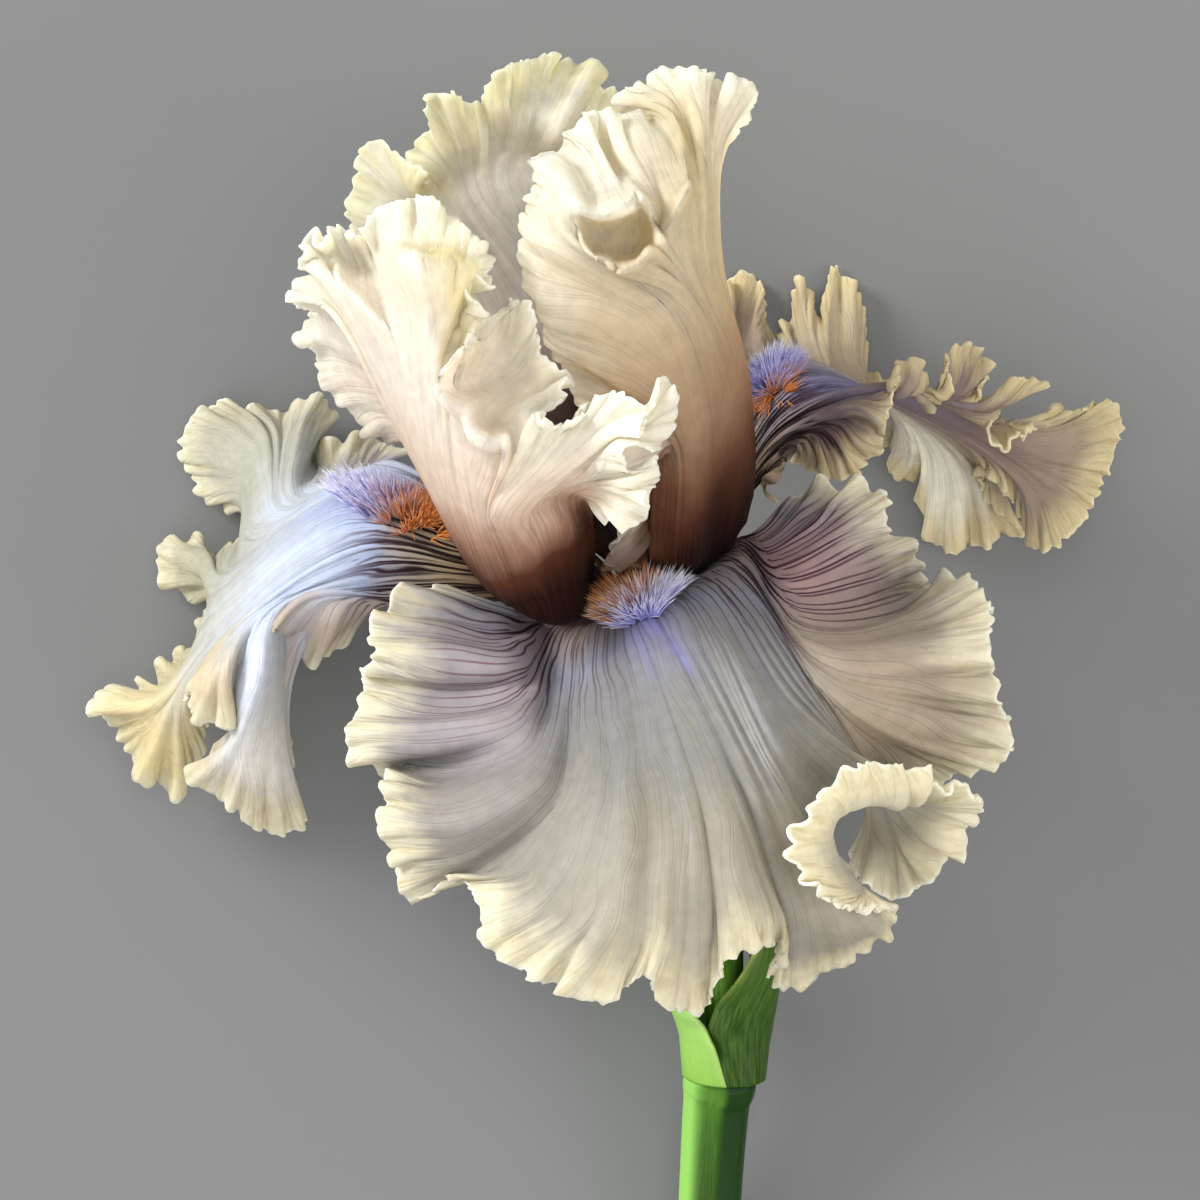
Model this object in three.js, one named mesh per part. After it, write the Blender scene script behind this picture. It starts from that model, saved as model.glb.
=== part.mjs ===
// A ruffled tall bearded iris flower on a short cut stem, lying on its back as picked.
// It rests on the two back falls and on the end of the stem, so the front fall faces up.
// Millimetres. +Z is up, away from the surface it lies on; +Y runs along the flower from the
// cut stem to the tops of the standards; +X is to the right as one looks down on it.
// The origin is the centre of the footprint, on the surface.
import * as THREE from "three";

// ---- Driving dimensions ----
const TEPAL_THICKNESS = 0.9;
const BEARD_HEIGHT = 2.4; // of the tuft of hairs along a fall's midrib
const BEARD_EDGE_SHARE = 0.35; // of that height, at the tuft's edge
const STYLE_THICKNESS = 0.9;
const FILAMENT_RADIUS = 0.55;
const ANTHER_RADIUS = 1.05;
const ANTHER_TAPER = [0.5, 1, 1, 1, 0.5]; // of that radius, from end to end
const BRACT_THICKNESS = 0.8;
const CLAW_RADIUS = 5.2; // of the ring on which the six claws stand
const CLAW_SPREAD = 20; // degrees to each side of a claw's middle, on that ring
const CLAW_LIFT = 0.6; // of the claws' feet above the top of the perianth tube
const BEARD_GAP = 0.65; // clear space under a beard

// How the flower's own axis lies: its top leans to the left and rises off the surface.
const LEAN = THREE.MathUtils.degToRad(10);
const RISE = THREE.MathUtils.degToRad(25);

// The tepals' lines are traced as they look from straight above, in pixels of a 1200 square picture,
// each point with its height in mm above the heart. A sight line from the eye puts it in space.
const EYE_HEIGHT = 700;
const MM_PER_PIXEL = 0.14; // at the heart's height
const PICTURE_CENTRE = 600;
const HEART_PX = [645, 600, 0];

/** A traced point, in mm from the middle of the picture at the heart's height. */
function sight([x, y, height]) {
  const scale = MM_PER_PIXEL * (1 - height / EYE_HEIGHT);
  return new THREE.Vector3((x - PICTURE_CENTRE) * scale, (PICTURE_CENTRE - y) * scale, height);
}

// ---- The flower's own frame: right, up its axis, and front ----
const HEART = sight(HEART_PX);
const Z_AXIS = new THREE.Vector3(0, 0, 1);
const RIGHT = new THREE.Vector3(1, 0, 0).applyAxisAngle(Z_AXIS, LEAN);
const UP = new THREE.Vector3(0, Math.cos(RISE), Math.sin(RISE)).applyAxisAngle(Z_AXIS, LEAN);
const FRONT = new THREE.Vector3(0, -Math.sin(RISE), Math.cos(RISE)).applyAxisAngle(Z_AXIS, LEAN);

/** A point at an azimuth from the front (degrees, right is positive), a radius and a height up the axis. */
function onFlower(azimuth, radius, height) {
  const turn = THREE.MathUtils.degToRad(azimuth);
  return HEART.clone()
    .addScaledVector(RIGHT, radius * Math.sin(turn))
    .addScaledVector(FRONT, radius * Math.cos(turn))
    .addScaledVector(UP, height);
}

// ---- Tepals: rows cross a tepal near its claw, rays then run out to its margin ----
// A claw's rows are [degrees from its middle, radius, height] about the flower's axis.
const CLAW_FOOT = [
  [-CLAW_SPREAD, CLAW_RADIUS, CLAW_LIFT],
  [0, CLAW_RADIUS, CLAW_LIFT],
  [CLAW_SPREAD, CLAW_RADIUS, CLAW_LIFT],
];
const FALL_CLAW = [
  CLAW_FOOT,
  [[-24, 6, 2.6], [0, 6, 2.6], [24, 6, 2.6]],
  [[-32, 9.5, 2.2], [-15, 10.5, 3.6], [0, 11, 4], [15, 10.5, 3.6], [32, 9.5, 2.2]],
];
const STANDARD_CLAW = [
  CLAW_FOOT,
  [[-36, 8, 6.5], [0, 8.5, 6], [36, 8, 6.5]],
];

const FALL_FRONT = {
  azimuth: 0,
  sweep: 1,
  claw: FALL_CLAW,
  rows: [
    [[550, 619, 2], [572, 624, 7], [603, 622, 17], [655, 616, 28], [692, 598, 25], [710, 586, 19],
     [724, 573, 13], [735, 560, 8], [744, 548, 3]],
  ],
  rays: [
    [[522, 613, 11], [482, 599, 12], [446, 585, 11]],
    [[505, 622, 15], [448, 606, 16], [404, 594, 14]],
    [[498, 634, 19], [430, 622, 20], [378, 612, 17]],
    [[500, 650, 24], [436, 645, 25], [366, 640, 22]],
    [[508, 668, 26], [446, 668, 25], [374, 652, 22]],
    [[512, 684, 25], [450, 690, 21], [362, 672, 17]],
    [[514, 696, 27], [448, 708, 23], [366, 690, 17]],
    [[518, 706, 30], [440, 724, 28], [347, 722, 22]],
    [[520, 720, 32], [446, 745, 28], [346, 748, 22]],
    [[524, 736, 33], [455, 764, 25], [362, 765, 17]],
    [[528, 750, 34], [452, 776, 27], [386, 764, 18]],
    [[532, 765, 37], [452, 800, 35], [382, 790, 27]],
    [[540, 780, 39], [462, 826, 37], [378, 822, 28]],
    [[548, 792, 39], [478, 846, 35], [390, 858, 27]],
    [[556, 800, 39], [500, 852, 34], [414, 902, 24]],
    [[566, 806, 41], [520, 868, 38], [452, 876, 31]],
    [[580, 812, 43], [538, 885, 42], [478, 905, 36]],
    [[596, 816, 45], [560, 900, 45], [488, 944, 38]],
    [[614, 820, 46], [590, 912, 49], [520, 972, 44]],
    [[632, 824, 47], [615, 918, 50], [572, 996, 45]],
    [[650, 826, 47], [640, 922, 49], [614, 997, 44]],
    [[668, 826, 48], [664, 925, 50], [645, 975, 47]],
    [[684, 824, 48], [682, 925, 49], [662, 1006, 44]],
    [[698, 820, 48], [704, 920, 47], [706, 1008, 36]],
    [[712, 814, 48], [724, 910, 48], [724, 964, 45]],
    [[726, 806, 48], [744, 900, 48], [752, 950, 44]],
    [[738, 796, 47], [766, 880, 46], [779, 918, 42], [776, 945, 36]],
    [[748, 786, 46], [776, 876, 43], [786, 918, 37], [782, 990, 20]],
    [[752, 781, 46], [786, 874, 42], [800, 918, 37], [800, 985, 18]],
    [[756, 776, 45], [796, 870, 41], [818, 922, 37], [828, 968, 18]],
    [[759, 773, 45], [804, 866, 41], [836, 922, 37], [843, 968, 20]],
    [[762, 770, 44], [814, 864, 40], [854, 920, 35], [868, 950, 18]],
    [[765, 765, 44], [822, 862, 38], [872, 915, 32], [886, 932, 20]],
    [[767, 761, 44], [828, 858, 36], [880, 905, 30], [896, 914, 26]],
    [[770, 757, 44], [824, 850, 34], [862, 886, 34], [850, 896, 44], [826, 899, 50]],
    [[772, 752, 43], [818, 832, 33], [842, 862, 38], [826, 872, 47], [800, 872, 52]],
    [[776, 746, 43], [822, 818, 32], [834, 842, 40], [816, 850, 49], [790, 855, 53]],
    [[780, 740, 42], [824, 806, 31], [832, 828, 40], [818, 826, 49], [800, 822, 53]],
    [[784, 734, 41], [830, 796, 30], [840, 814, 39], [832, 804, 48], [812, 800, 52]],
    [[788, 728, 40], [844, 788, 29], [856, 810, 37], [852, 792, 47], [846, 770, 51]],
    [[791, 722, 39], [860, 786, 27], [878, 808, 34], [878, 788, 44], [872, 767, 48]],
    [[794, 716, 38], [880, 784, 25], [900, 806, 30], [902, 784, 38], [896, 764, 42]],
    [[797, 711, 37], [896, 782, 23], [918, 800, 27], [922, 790, 32], [918, 779, 34]],
    [[800, 708, 37], [905, 786, 21], [935, 795, 26], [945, 791, 28]],
    [[803, 705, 36], [908, 790, 19], [945, 796, 22], [970, 789, 24]],
    [[806, 702, 36], [908, 798, 15], [950, 806, 18], [982, 808, 16]],
    [[808, 700, 35], [905, 806, 12], [940, 822, 14], [970, 828, 12]],
    [[811, 698, 35], [900, 812, 9], [925, 838, 10], [962, 848, 8]],
    [[813, 697, 34], [892, 816, 6], [910, 850, 7], [937, 873, 6]],
    [[815, 696, 34], [884, 816, 4], [892, 850, 5], [893, 900, 5]],
    [[817, 695, 33], [874, 812, 2], [872, 850, 3], [870, 886, 4]],
    [[819, 694, 33], [866, 806, 0], [862, 830, 0], [848, 862, 0]],
    [[820, 692, 33], [872, 790, 2], [880, 805, -3], [885, 830, -6]],
    [[821, 691, 34], [890, 770, 8], [920, 795, 0]],
    [[822, 690, 34], [908, 757, 14], [950, 784, 6]],
    [[825, 685, 34], [925, 735, 19], [1008, 752, 14]],
    [[827, 679, 34], [925, 712, 22], [1012, 738, 18]],
    [[826, 670, 34], [920, 690, 25], [1000, 700, 24]],
    [[824, 660, 34], [915, 668, 27], [995, 672, 26]],
    [[818, 648, 33], [910, 648, 26], [990, 640, 27]],
    [[812, 638, 31], [905, 632, 22], [992, 608, 22]],
    [[806, 628, 28], [900, 622, 15], [972, 583, 12]],
    [[800, 618, 26], [895, 612, 9], [943, 585, 2]],
    [[794, 606, 24], [880, 600, 8], [925, 590, -2]],
    [[790, 594, 22], [865, 580, 11], [920, 566, 2]],
    [[786, 582, 21], [855, 560, 13], [906, 538, 5]],
    [[782, 570, 19], [845, 540, 13], [885, 526, 8]],
    [[778, 560, 16], [838, 525, 12], [889, 497, 10]],
    [[772, 550, 13], [822, 512, 9], [860, 486, 5]],
    [[764, 540, 9], [800, 510, 4], [822, 484, 0]],
    [[754, 534, 5], [776, 512, 0], [790, 494, -4]],
  ],
};

const FALL_LEFT = {
  azimuth: -114,
  sweep: -1,
  claw: FALL_CLAW,
  rows: [
    [[484, 582, 0], [455, 535, 3], [470, 500, -9]],
    [[412, 600, -3], [388, 575, 0], [362, 540, 1], [345, 512, -3], [348, 490, -10], [362, 474, -16],
     [385, 462, -21]],
  ],
  rays: [
    [[392, 604, -4], [372, 612, -7], [356, 636, -12]],
    [[360, 600, -2], [345, 618, -3], [326, 656, -10]],
    [[335, 600, -1], [318, 622, -2], [303, 657, -9]],
    [[318, 600, -1], [292, 626, -2], [283, 648, -8]],
    [[305, 598, -1], [275, 628, -1], [268, 640, -5]],
    [[292, 602, -2], [290, 655, -7], [287, 715, -14], [292, 782, -24]],
    [[286, 606, -2], [282, 662, -4], [280, 740, -12], [305, 822, -24]],
    [[280, 610, -2], [274, 672, -1], [262, 750, -8], [264, 832, -18]],
    [[274, 612, -2], [262, 680, 1], [246, 750, -6], [238, 814, -15]],
    [[268, 614, -3], [250, 690, 1], [232, 735, -6], [192, 772, -16]],
    [[262, 616, -3], [240, 690, -1], [232, 720, -8], [225, 747, -20]],
    [[256, 618, -4], [228, 674, 1], [240, 724, -5]],
    [[250, 620, -5], [214, 672, 0], [200, 724, -6]],
    [[245, 622, -6], [206, 670, -4], [186, 700, -10]],
    [[240, 624, -7], [200, 674, -9], [202, 684, -8]],
    [[236, 626, -9], [190, 690, -15], [204, 738, -27]],
    [[232, 626, -10], [180, 700, -18], [180, 792, -34]],
    [[228, 626, -11], [170, 705, -20], [150, 785, -34]],
    [[224, 626, -12], [160, 705, -21], [112, 730, -33]],
    [[220, 626, -13], [155, 700, -22], [94, 700, -31]],
    [[216, 624, -14], [160, 692, -24], [110, 688, -31]],
    [[213, 622, -15], [170, 684, -27], [140, 690, -36]],
    [[210, 620, -16], [185, 665, -30], [165, 660, -39]],
    [[208, 616, -17], [200, 642, -30], [206, 646, -37]],
    [[208, 610, -18], [212, 615, -30], [200, 620, -39]],
    [[210, 604, -19], [222, 600, -30], [228, 596, -36]],
    [[214, 596, -19], [205, 588, -30], [176, 596, -41]],
    [[218, 588, -19], [200, 572, -30], [155, 565, -41]],
    [[222, 580, -19], [205, 558, -31], [170, 546, -41]],
    [[228, 572, -20], [224, 554, -31], [232, 545, -37]],
    [[236, 562, -20], [241, 540, -30], [250, 532, -34]],
    [[244, 552, -20], [248, 520, -32], [246, 512, -37]],
    [[252, 542, -20], [242, 495, -33], [212, 500, -41]],
    [[258, 534, -20], [240, 480, -34], [190, 478, -42]],
    [[264, 528, -20], [242, 465, -35], [180, 458, -42]],
    [[270, 522, -20], [245, 450, -36], [182, 436, -42]],
    [[276, 516, -20], [250, 440, -36], [192, 420, -42]],
    [[282, 512, -20], [260, 430, -36], [212, 402, -42]],
    [[288, 508, -20], [272, 430, -36], [245, 406, -40]],
    [[293, 504, -20], [286, 430, -36], [285, 410, -40]],
    [[298, 500, -20], [302, 430, -34], [320, 392, -38]],
    [[304, 496, -21], [312, 440, -35], [330, 408, -40]],
    [[314, 490, -21], [318, 462, -38], [326, 440, -43]],
    [[326, 486, -22], [332, 470, -34], [334, 446, -38]],
    [[338, 482, -22], [355, 460, -33], [362, 436, -38]],
    [[352, 478, -22], [375, 458, -33], [396, 440, -38]],
    [[366, 474, -23], [395, 460, -32], [430, 446, -36]],
  ],
};

const FALL_RIGHT = {
  azimuth: 124,
  sweep: 1,
  claw: FALL_CLAW,
  rows: [
    [[748, 494, -10], [742, 458, -12], [732, 430, -17]],
    [[775, 462, -9], [785, 430, -5], [796, 405, -4], [800, 386, -6], [792, 366, -12], [778, 356, -19],
     [762, 354, -24]],
  ],
  rays: [
    [[770, 474, -10], [764, 490, -9], [770, 502, -13]],
    [[785, 460, -8], [782, 466, -8], [778, 474, -13]],
    [[798, 448, -5], [796, 450, -8], [790, 454, -11]],
    [[806, 440, -3], [812, 452, -2], [808, 464, -4]],
    [[814, 436, -2], [825, 455, 0], [828, 478, -2]],
    [[822, 430, -2], [840, 452, 1], [848, 480, -1]],
    [[832, 424, -2], [852, 448, 0], [868, 464, -2]],
    [[840, 418, -2], [862, 436, -1], [882, 446, -4]],
    [[848, 412, -1], [872, 424, 0], [880, 432, -3]],
    [[854, 407, 0], [878, 412, 1], [884, 420, 0]],
    [[859, 402, 0], [884, 398, 2], [893, 386, 2]],
    [[863, 398, -1], [892, 388, 2], [893, 370, 0]],
    [[867, 395, -1], [902, 388, 1], [906, 362, -2]],
    [[870, 392, -2], [914, 392, -1], [922, 376, -4]],
    [[874, 390, -2], [926, 398, -2], [933, 409, -6]],
    [[878, 388, -3], [934, 394, -3], [946, 370, -4]],
    [[881, 387, -3], [942, 392, -4], [952, 348, -6]],
    [[884, 386, -4], [952, 392, -5], [970, 345, -8]],
    [[886, 386, -4], [962, 396, -6], [987, 362, -10]],
    [[888, 386, -5], [968, 402, -8], [980, 385, -8]],
    [[890, 386, -6], [974, 408, -9], [982, 408, -9]],
    [[892, 386, -7], [985, 408, -8], [1012, 382, -12]],
    [[893, 387, -8], [992, 408, -10], [1046, 382, -16]],
    [[894, 388, -9], [990, 416, -12], [1006, 402, -14]],
    [[895, 389, -10], [990, 426, -14], [994, 438, -12]],
    [[896, 390, -11], [1002, 430, -17], [1014, 443, -14]],
    [[897, 391, -8], [1022, 428, -20], [1040, 425, -22]],
    [[898, 392, -9], [1040, 428, -22], [1080, 411, -27]],
    [[899, 393, -10], [1050, 434, -24], [1116, 404, -30]],
    [[900, 394, -11], [1052, 446, -25], [1122, 430, -30]],
    [[900, 396, -12], [1050, 460, -26], [1110, 462, -30]],
    [[900, 398, -13], [1044, 472, -27], [1098, 495, -30]],
    [[900, 400, -14], [1036, 480, -28], [1075, 530, -30]],
    [[900, 402, -15], [1026, 486, -28], [1042, 552, -30]],
    [[900, 404, -16], [1014, 480, -27], [1028, 538, -32]],
    [[900, 405, -17], [1004, 470, -27], [1012, 505, -30]],
    [[899, 406, -18], [992, 460, -28], [990, 476, -29]],
    [[899, 407, -19], [982, 464, -31], [988, 500, -36]],
    [[898, 408, -20], [978, 468, -33], [1022, 532, -41]],
    [[898, 408, -21], [974, 472, -33], [1003, 538, -41]],
    [[897, 409, -22], [962, 470, -34], [980, 545, -41]],
    [[896, 410, -23], [947, 468, -34], [953, 549, -41]],
    [[895, 410, -24], [932, 464, -35], [926, 540, -41]],
    [[893, 410, -25], [918, 458, -35], [918, 486, -41]],
    [[890, 410, -26], [904, 450, -35], [888, 472, -41]],
    [[887, 408, -26], [894, 436, -35], [900, 454, -39]],
    [[884, 404, -26], [885, 418, -34], [879, 440, -38]],
    [[880, 398, -26], [888, 396, -33], [892, 381, -37]],
    [[872, 392, -26], [870, 385, -34], [870, 372, -40]],
    [[862, 386, -26], [857, 360, -36], [860, 300, -42]],
    [[850, 380, -26], [846, 350, -36], [849, 286, -42]],
    [[838, 376, -26], [832, 340, -36], [836, 262, -42]],
    [[826, 374, -26], [818, 342, -36], [814, 322, -40]],
    [[815, 372, -26], [806, 330, -38], [800, 280, -42]],
    [[805, 370, -26], [796, 338, -38], [791, 302, -42]],
    [[795, 368, -26], [784, 345, -36], [780, 338, -40]],
    [[785, 366, -26], [770, 340, -38], [766, 318, -42]],
    [[775, 366, -26], [756, 345, -36], [745, 345, -40]],
    [[765, 368, -25], [745, 335, -36], [764, 280, -42]],
    [[755, 370, -24], [735, 335, -36], [735, 270, -42]],
    [[745, 376, -22], [726, 352, -32], [715, 330, -38]],
  ],
};

const STANDARD_LEFT = {
  azimuth: -60,
  sweep: 1,
  claw: STANDARD_CLAW,
  rows: [
    [[510, 545, 4], [480, 560, 15], [482, 580, 24], [498, 598, 28], [521, 612, 30], [550, 623, 28],
     [580, 615, 22], [594, 592, 13]],
    [[478, 510, 6], [440, 505, 18], [444, 516, 30], [462, 530, 36], [488, 544, 39], [516, 540, 39],
     [560, 520, 35], [594, 550, 21]],
    [[436, 480, 10], [413, 460, 20], [422, 458, 33], [446, 476, 41], [474, 498, 45], [506, 516, 46],
     [552, 500, 36], [590, 508, 24]],
  ],
  rays: [
    [[418, 456, 10], [410, 446, 3], [404, 438, -4]],
    [[411, 440, 18], [407, 441, 8], [397, 438, 0], [390, 441, -5]],
    [[403, 424, 20], [400, 427, 9], [384, 424, 1], [374, 437, -5]],
    [[397, 410, 21], [393, 413, 9], [370, 412, 0], [358, 421, -6]],
    [[389, 397, 22], [385, 400, 9], [356, 396, 1], [341, 404, -5]],
    [[381, 385, 23], [377, 388, 9], [344, 384, 0], [327, 390, -6]],
    [[372, 371, 24], [368, 375, 10], [335, 366, 2], [316, 368, -4]],
    [[362, 356, 25], [358, 360, 11], [328, 350, 2], [309, 352, -6]],
    [[352, 342, 26], [348, 346, 12], [322, 334, 4], [306, 340, -3]],
    [[344, 329, 27], [340, 333, 14], [320, 321, 7], [307, 325, -2]],
    [[338, 318, 28], [333, 320, 18], [318, 310, 11], [311, 309, 5]],
    [[344, 328, 30], [318, 302, 27], [288, 296, 22]],
    [[350, 336, 28], [315, 290, 28], [294, 283, 27]],
    [[356, 334, 31], [325, 278, 33], [303, 266, 27]],
    [[362, 332, 34], [330, 275, 34], [318, 262, 28], [300, 252, 30]],
    [[368, 330, 36], [338, 281, 36], [328, 260, 26], [306, 243, 28]],
    [[374, 330, 38], [346, 288, 37], [337, 258, 25], [320, 240, 31]],
    [[380, 330, 39], [355, 297, 38], [346, 258, 24], [330, 227, 28]],
    [[386, 331, 40], [366, 306, 38], [356, 262, 24], [346, 229, 26]],
    [[391, 333, 41], [377, 315, 38], [366, 264, 25], [354, 234, 30]],
    [[397, 336, 42], [388, 320, 38], [376, 266, 28], [362, 238, 27]],
    [[404, 340, 43], [399, 323, 41], [386, 282, 38], [379, 252, 30], [368, 220, 33]],
    [[411, 341, 45], [410, 318, 45], [398, 284, 47], [389, 264, 44], [385, 240, 34], [380, 206, 34]],
    [[418, 341, 47], [419, 316, 48], [410, 284, 52], [403, 257, 54], [402, 238, 39], [400, 203, 38]],
    [[425, 342, 48], [427, 314, 50], [421, 285, 54], [416, 260, 56], [418, 240, 40], [413, 197, 36]],
    [[431, 344, 49], [435, 314, 50], [432, 290, 54], [430, 264, 56], [434, 240, 42], [438, 200, 41]],
    [[436, 348, 49], [443, 316, 49], [443, 296, 52], [446, 268, 54], [452, 244, 43], [456, 217, 39]],
    [[440, 352, 48], [451, 320, 46], [452, 302, 48], [460, 274, 52], [466, 254, 44], [471, 232, 42]],
    [[444, 356, 47], [459, 326, 43], [463, 306, 45], [472, 278, 50], [479, 262, 45], [491, 257, 41]],
    [[448, 360, 47], [465, 332, 42], [470, 314, 41], [476, 298, 45], [480, 288, 48]],
    [[452, 364, 48], [466, 342, 47], [474, 330, 49], [482, 326, 44], [488, 317, 43]],
    [[453, 372, 50], [464, 347, 55], [470, 336, 58], [480, 338, 48], [492, 335, 43], [501, 306, 42]],
    [[450, 382, 51], [455, 360, 56], [458, 350, 59], [470, 358, 48], [490, 348, 42], [504, 330, 40],
     [512, 304, 44]],
    [[448, 394, 51], [441, 378, 57], [438, 374, 59], [455, 376, 49], [482, 366, 41], [506, 344, 40],
     [522, 302, 42]],
    [[450, 406, 51], [436, 396, 56], [435, 388, 59], [454, 388, 49], [484, 378, 40], [510, 356, 40],
     [531, 303, 44]],
    [[458, 416, 51], [447, 410, 57], [446, 402, 59], [462, 396, 50], [490, 386, 40], [516, 366, 40],
     [536, 330, 42]],
    [[468, 428, 51], [462, 418, 57], [464, 410, 58], [474, 404, 49], [498, 392, 41], [524, 376, 41],
     [540, 352, 44]],
    [[478, 444, 50], [468, 436, 57], [470, 428, 58], [482, 420, 46], [504, 402, 43], [532, 386, 43],
     [556, 364, 46]],
    [[490, 454, 50], [484, 448, 57], [488, 440, 58], [494, 428, 47], [512, 408, 48], [540, 394, 45],
     [572, 380, 45]],
    [[504, 457, 50], [502, 450, 56], [506, 440, 57], [510, 428, 50], [524, 411, 52], [545, 402, 47],
     [566, 392, 49]],
    [[516, 455, 50], [520, 440, 53], [526, 426, 54], [536, 413, 54], [550, 410, 50]],
    [[528, 452, 50], [536, 434, 52], [544, 421, 55]],
    [[540, 450, 50], [552, 430, 52], [560, 425, 52]],
    [[550, 448, 50], [564, 428, 51], [575, 416, 53]],
    [[558, 448, 50], [576, 420, 51], [587, 402, 50]],
    [[566, 448, 50], [590, 418, 51], [603, 395, 53]],
    [[572, 450, 50], [600, 420, 52], [622, 393, 55]],
    [[578, 454, 50], [608, 426, 53], [641, 411, 57]],
    [[583, 458, 50], [612, 434, 54], [638, 434, 58]],
    [[586, 460, 49], [618, 432, 52], [650, 412, 49], [664, 376, 46]],
    [[589, 462, 49], [622, 438, 52], [652, 420, 49], [677, 392, 47]],
    [[592, 464, 49], [624, 442, 52], [652, 432, 51], [672, 430, 49]],
    [[594, 466, 49], [622, 446, 53], [640, 442, 54], [656, 451, 53]],
    [[596, 469, 49], [614, 452, 53], [628, 453, 55]],
    [[598, 473, 48], [614, 462, 52], [627, 464, 52]],
    [[600, 477, 48], [618, 472, 51], [640, 469, 50]],
    [[602, 481, 48], [624, 478, 51], [657, 458, 53]],
    [[603, 485, 47], [626, 485, 52], [655, 482, 49]],
    [[603, 490, 47], [626, 495, 50], [646, 501, 52]],
    [[602, 496, 46], [622, 507, 50], [647, 518, 48]],
    [[600, 502, 45], [614, 515, 49], [630, 528, 49]],
    [[597, 506, 44], [605, 515, 46], [613, 524, 45]],
    [[593, 507, 41], [597, 511, 42], [601, 514, 42]],
    [[590, 506, 37], [590, 508, 37], [591, 507, 37]],
  ],
};

const STANDARD_RIGHT = {
  azimuth: 60,
  sweep: 1,
  claw: STANDARD_CLAW,
  rows: [
    [[650, 556, 25], [676, 566, 26], [695, 560, 24], [708, 561, 12], [729, 549, 10], [744, 524, 7],
     [747, 495, 4], [746, 478, -1]],
    [[655, 455, 33], [690, 425, 35], [730, 400, 24], [750, 392, 10], [746, 390, 1]],
  ],
  rays: [
    [[650, 530, 27], [640, 556, 31], [624, 571, 32]],
    [[646, 520, 28], [628, 546, 33], [605, 564, 33]],
    [[648, 505, 30], [634, 525, 33], [612, 546, 33]],
    [[650, 480, 32], [640, 495, 35], [622, 520, 35]],
    [[652, 452, 34], [632, 460, 36], [606, 470, 36]],
    [[652, 425, 35], [610, 410, 37], [575, 400, 37]],
    [[653, 400, 37], [600, 370, 39], [550, 345, 37]],
    [[656, 370, 38], [600, 330, 40], [541, 318, 38], [540, 300, 37]],
    [[660, 345, 39], [600, 300, 41], [545, 290, 40], [527, 282, 37]],
    [[664, 330, 39], [602, 290, 42], [545, 266, 41], [518, 250, 36]],
    [[667, 318, 40], [606, 275, 44], [560, 250, 45], [532, 238, 42], [520, 228, 38]],
    [[669, 312, 40], [608, 268, 46], [575, 242, 48], [556, 225, 46], [540, 212, 42], [527, 206, 36]],
    [[671, 306, 40], [610, 268, 48], [588, 252, 53], [580, 238, 46], [566, 215, 50], [550, 196, 45],
     [531, 186, 39]],
    [[673, 302, 40], [614, 270, 48], [598, 261, 55], [592, 244, 42], [582, 222, 45], [576, 208, 53],
     [565, 180, 44], [536, 166, 37]],
    [[675, 298, 40], [620, 274, 48], [610, 266, 56], [606, 246, 40], [598, 226, 43], [596, 215, 53],
     [588, 190, 42], [570, 160, 38], [550, 150, 38]],
    [[678, 294, 40], [628, 276, 48], [622, 270, 56], [622, 250, 38], [618, 228, 41], [616, 211, 54],
     [606, 188, 42], [586, 150, 36], [566, 138, 34]],
    [[681, 290, 40], [638, 272, 48], [636, 265, 56], [636, 248, 38], [634, 225, 40], [632, 204, 54],
     [618, 185, 42], [598, 150, 38], [582, 118, 36]],
    [[684, 285, 40], [648, 262, 48], [648, 252, 56], [648, 238, 41], [646, 220, 43], [643, 200, 54],
     [628, 178, 40], [606, 160, 33], [594, 112, 31]],
    [[687, 280, 40], [660, 250, 48], [662, 240, 55], [658, 228, 46], [654, 210, 50], [646, 185, 42],
     [622, 150, 38], [606, 112, 35]],
    [[690, 276, 40], [668, 240, 47], [669, 232, 50], [664, 212, 46], [654, 178, 40], [636, 142, 36],
     [622, 119, 30]],
    [[693, 272, 40], [678, 230, 46], [681, 208, 50], [687, 190, 53], [680, 178, 41], [662, 144, 36],
     [636, 122, 29]],
    [[697, 268, 38], [690, 216, 42], [692, 198, 45], [688, 174, 40], [678, 136, 36], [656, 112, 31],
     [630, 110, 25]],
    [[700, 264, 37], [697, 205, 39], [688, 150, 36], [672, 112, 34], [640, 102, 29], [616, 100, 25]],
    [[703, 260, 36], [700, 200, 37], [688, 135, 34], [666, 98, 32], [627, 86, 28]],
    [[706, 256, 35], [703, 190, 36], [694, 130, 34], [676, 94, 31], [650, 74, 26]],
    [[709, 252, 34], [706, 185, 34], [698, 125, 35], [688, 95, 33], [675, 71, 29]],
    [[712, 250, 33], [709, 185, 33], [704, 125, 34], [701, 100, 34], [698, 68, 32]],
    [[714, 250, 31], [712, 185, 30], [710, 125, 32], [711, 100, 31], [712, 77, 26]],
    [[716, 250, 29], [714, 185, 28], [716, 130, 31], [724, 105, 32], [733, 78, 30]],
    [[718, 252, 26], [716, 190, 25], [720, 140, 28], [734, 112, 28], [747, 84, 22]],
    [[720, 255, 22], [718, 195, 21], [722, 150, 22], [736, 122, 22], [753, 104, 18]],
    [[721, 260, 17], [718, 205, 15], [720, 165, 14], [728, 140, 12], [740, 125, 6]],
    [[722, 270, 11], [716, 220, 8], [714, 180, 4], [716, 155, 0], [722, 140, -4]],
    [[720, 290, 5], [710, 240, 0], [704, 200, -4], [702, 180, -8]],
    [[716, 320, 0], [704, 270, -6], [695, 235, -10], [690, 215, -12]],
  ],
};

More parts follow.
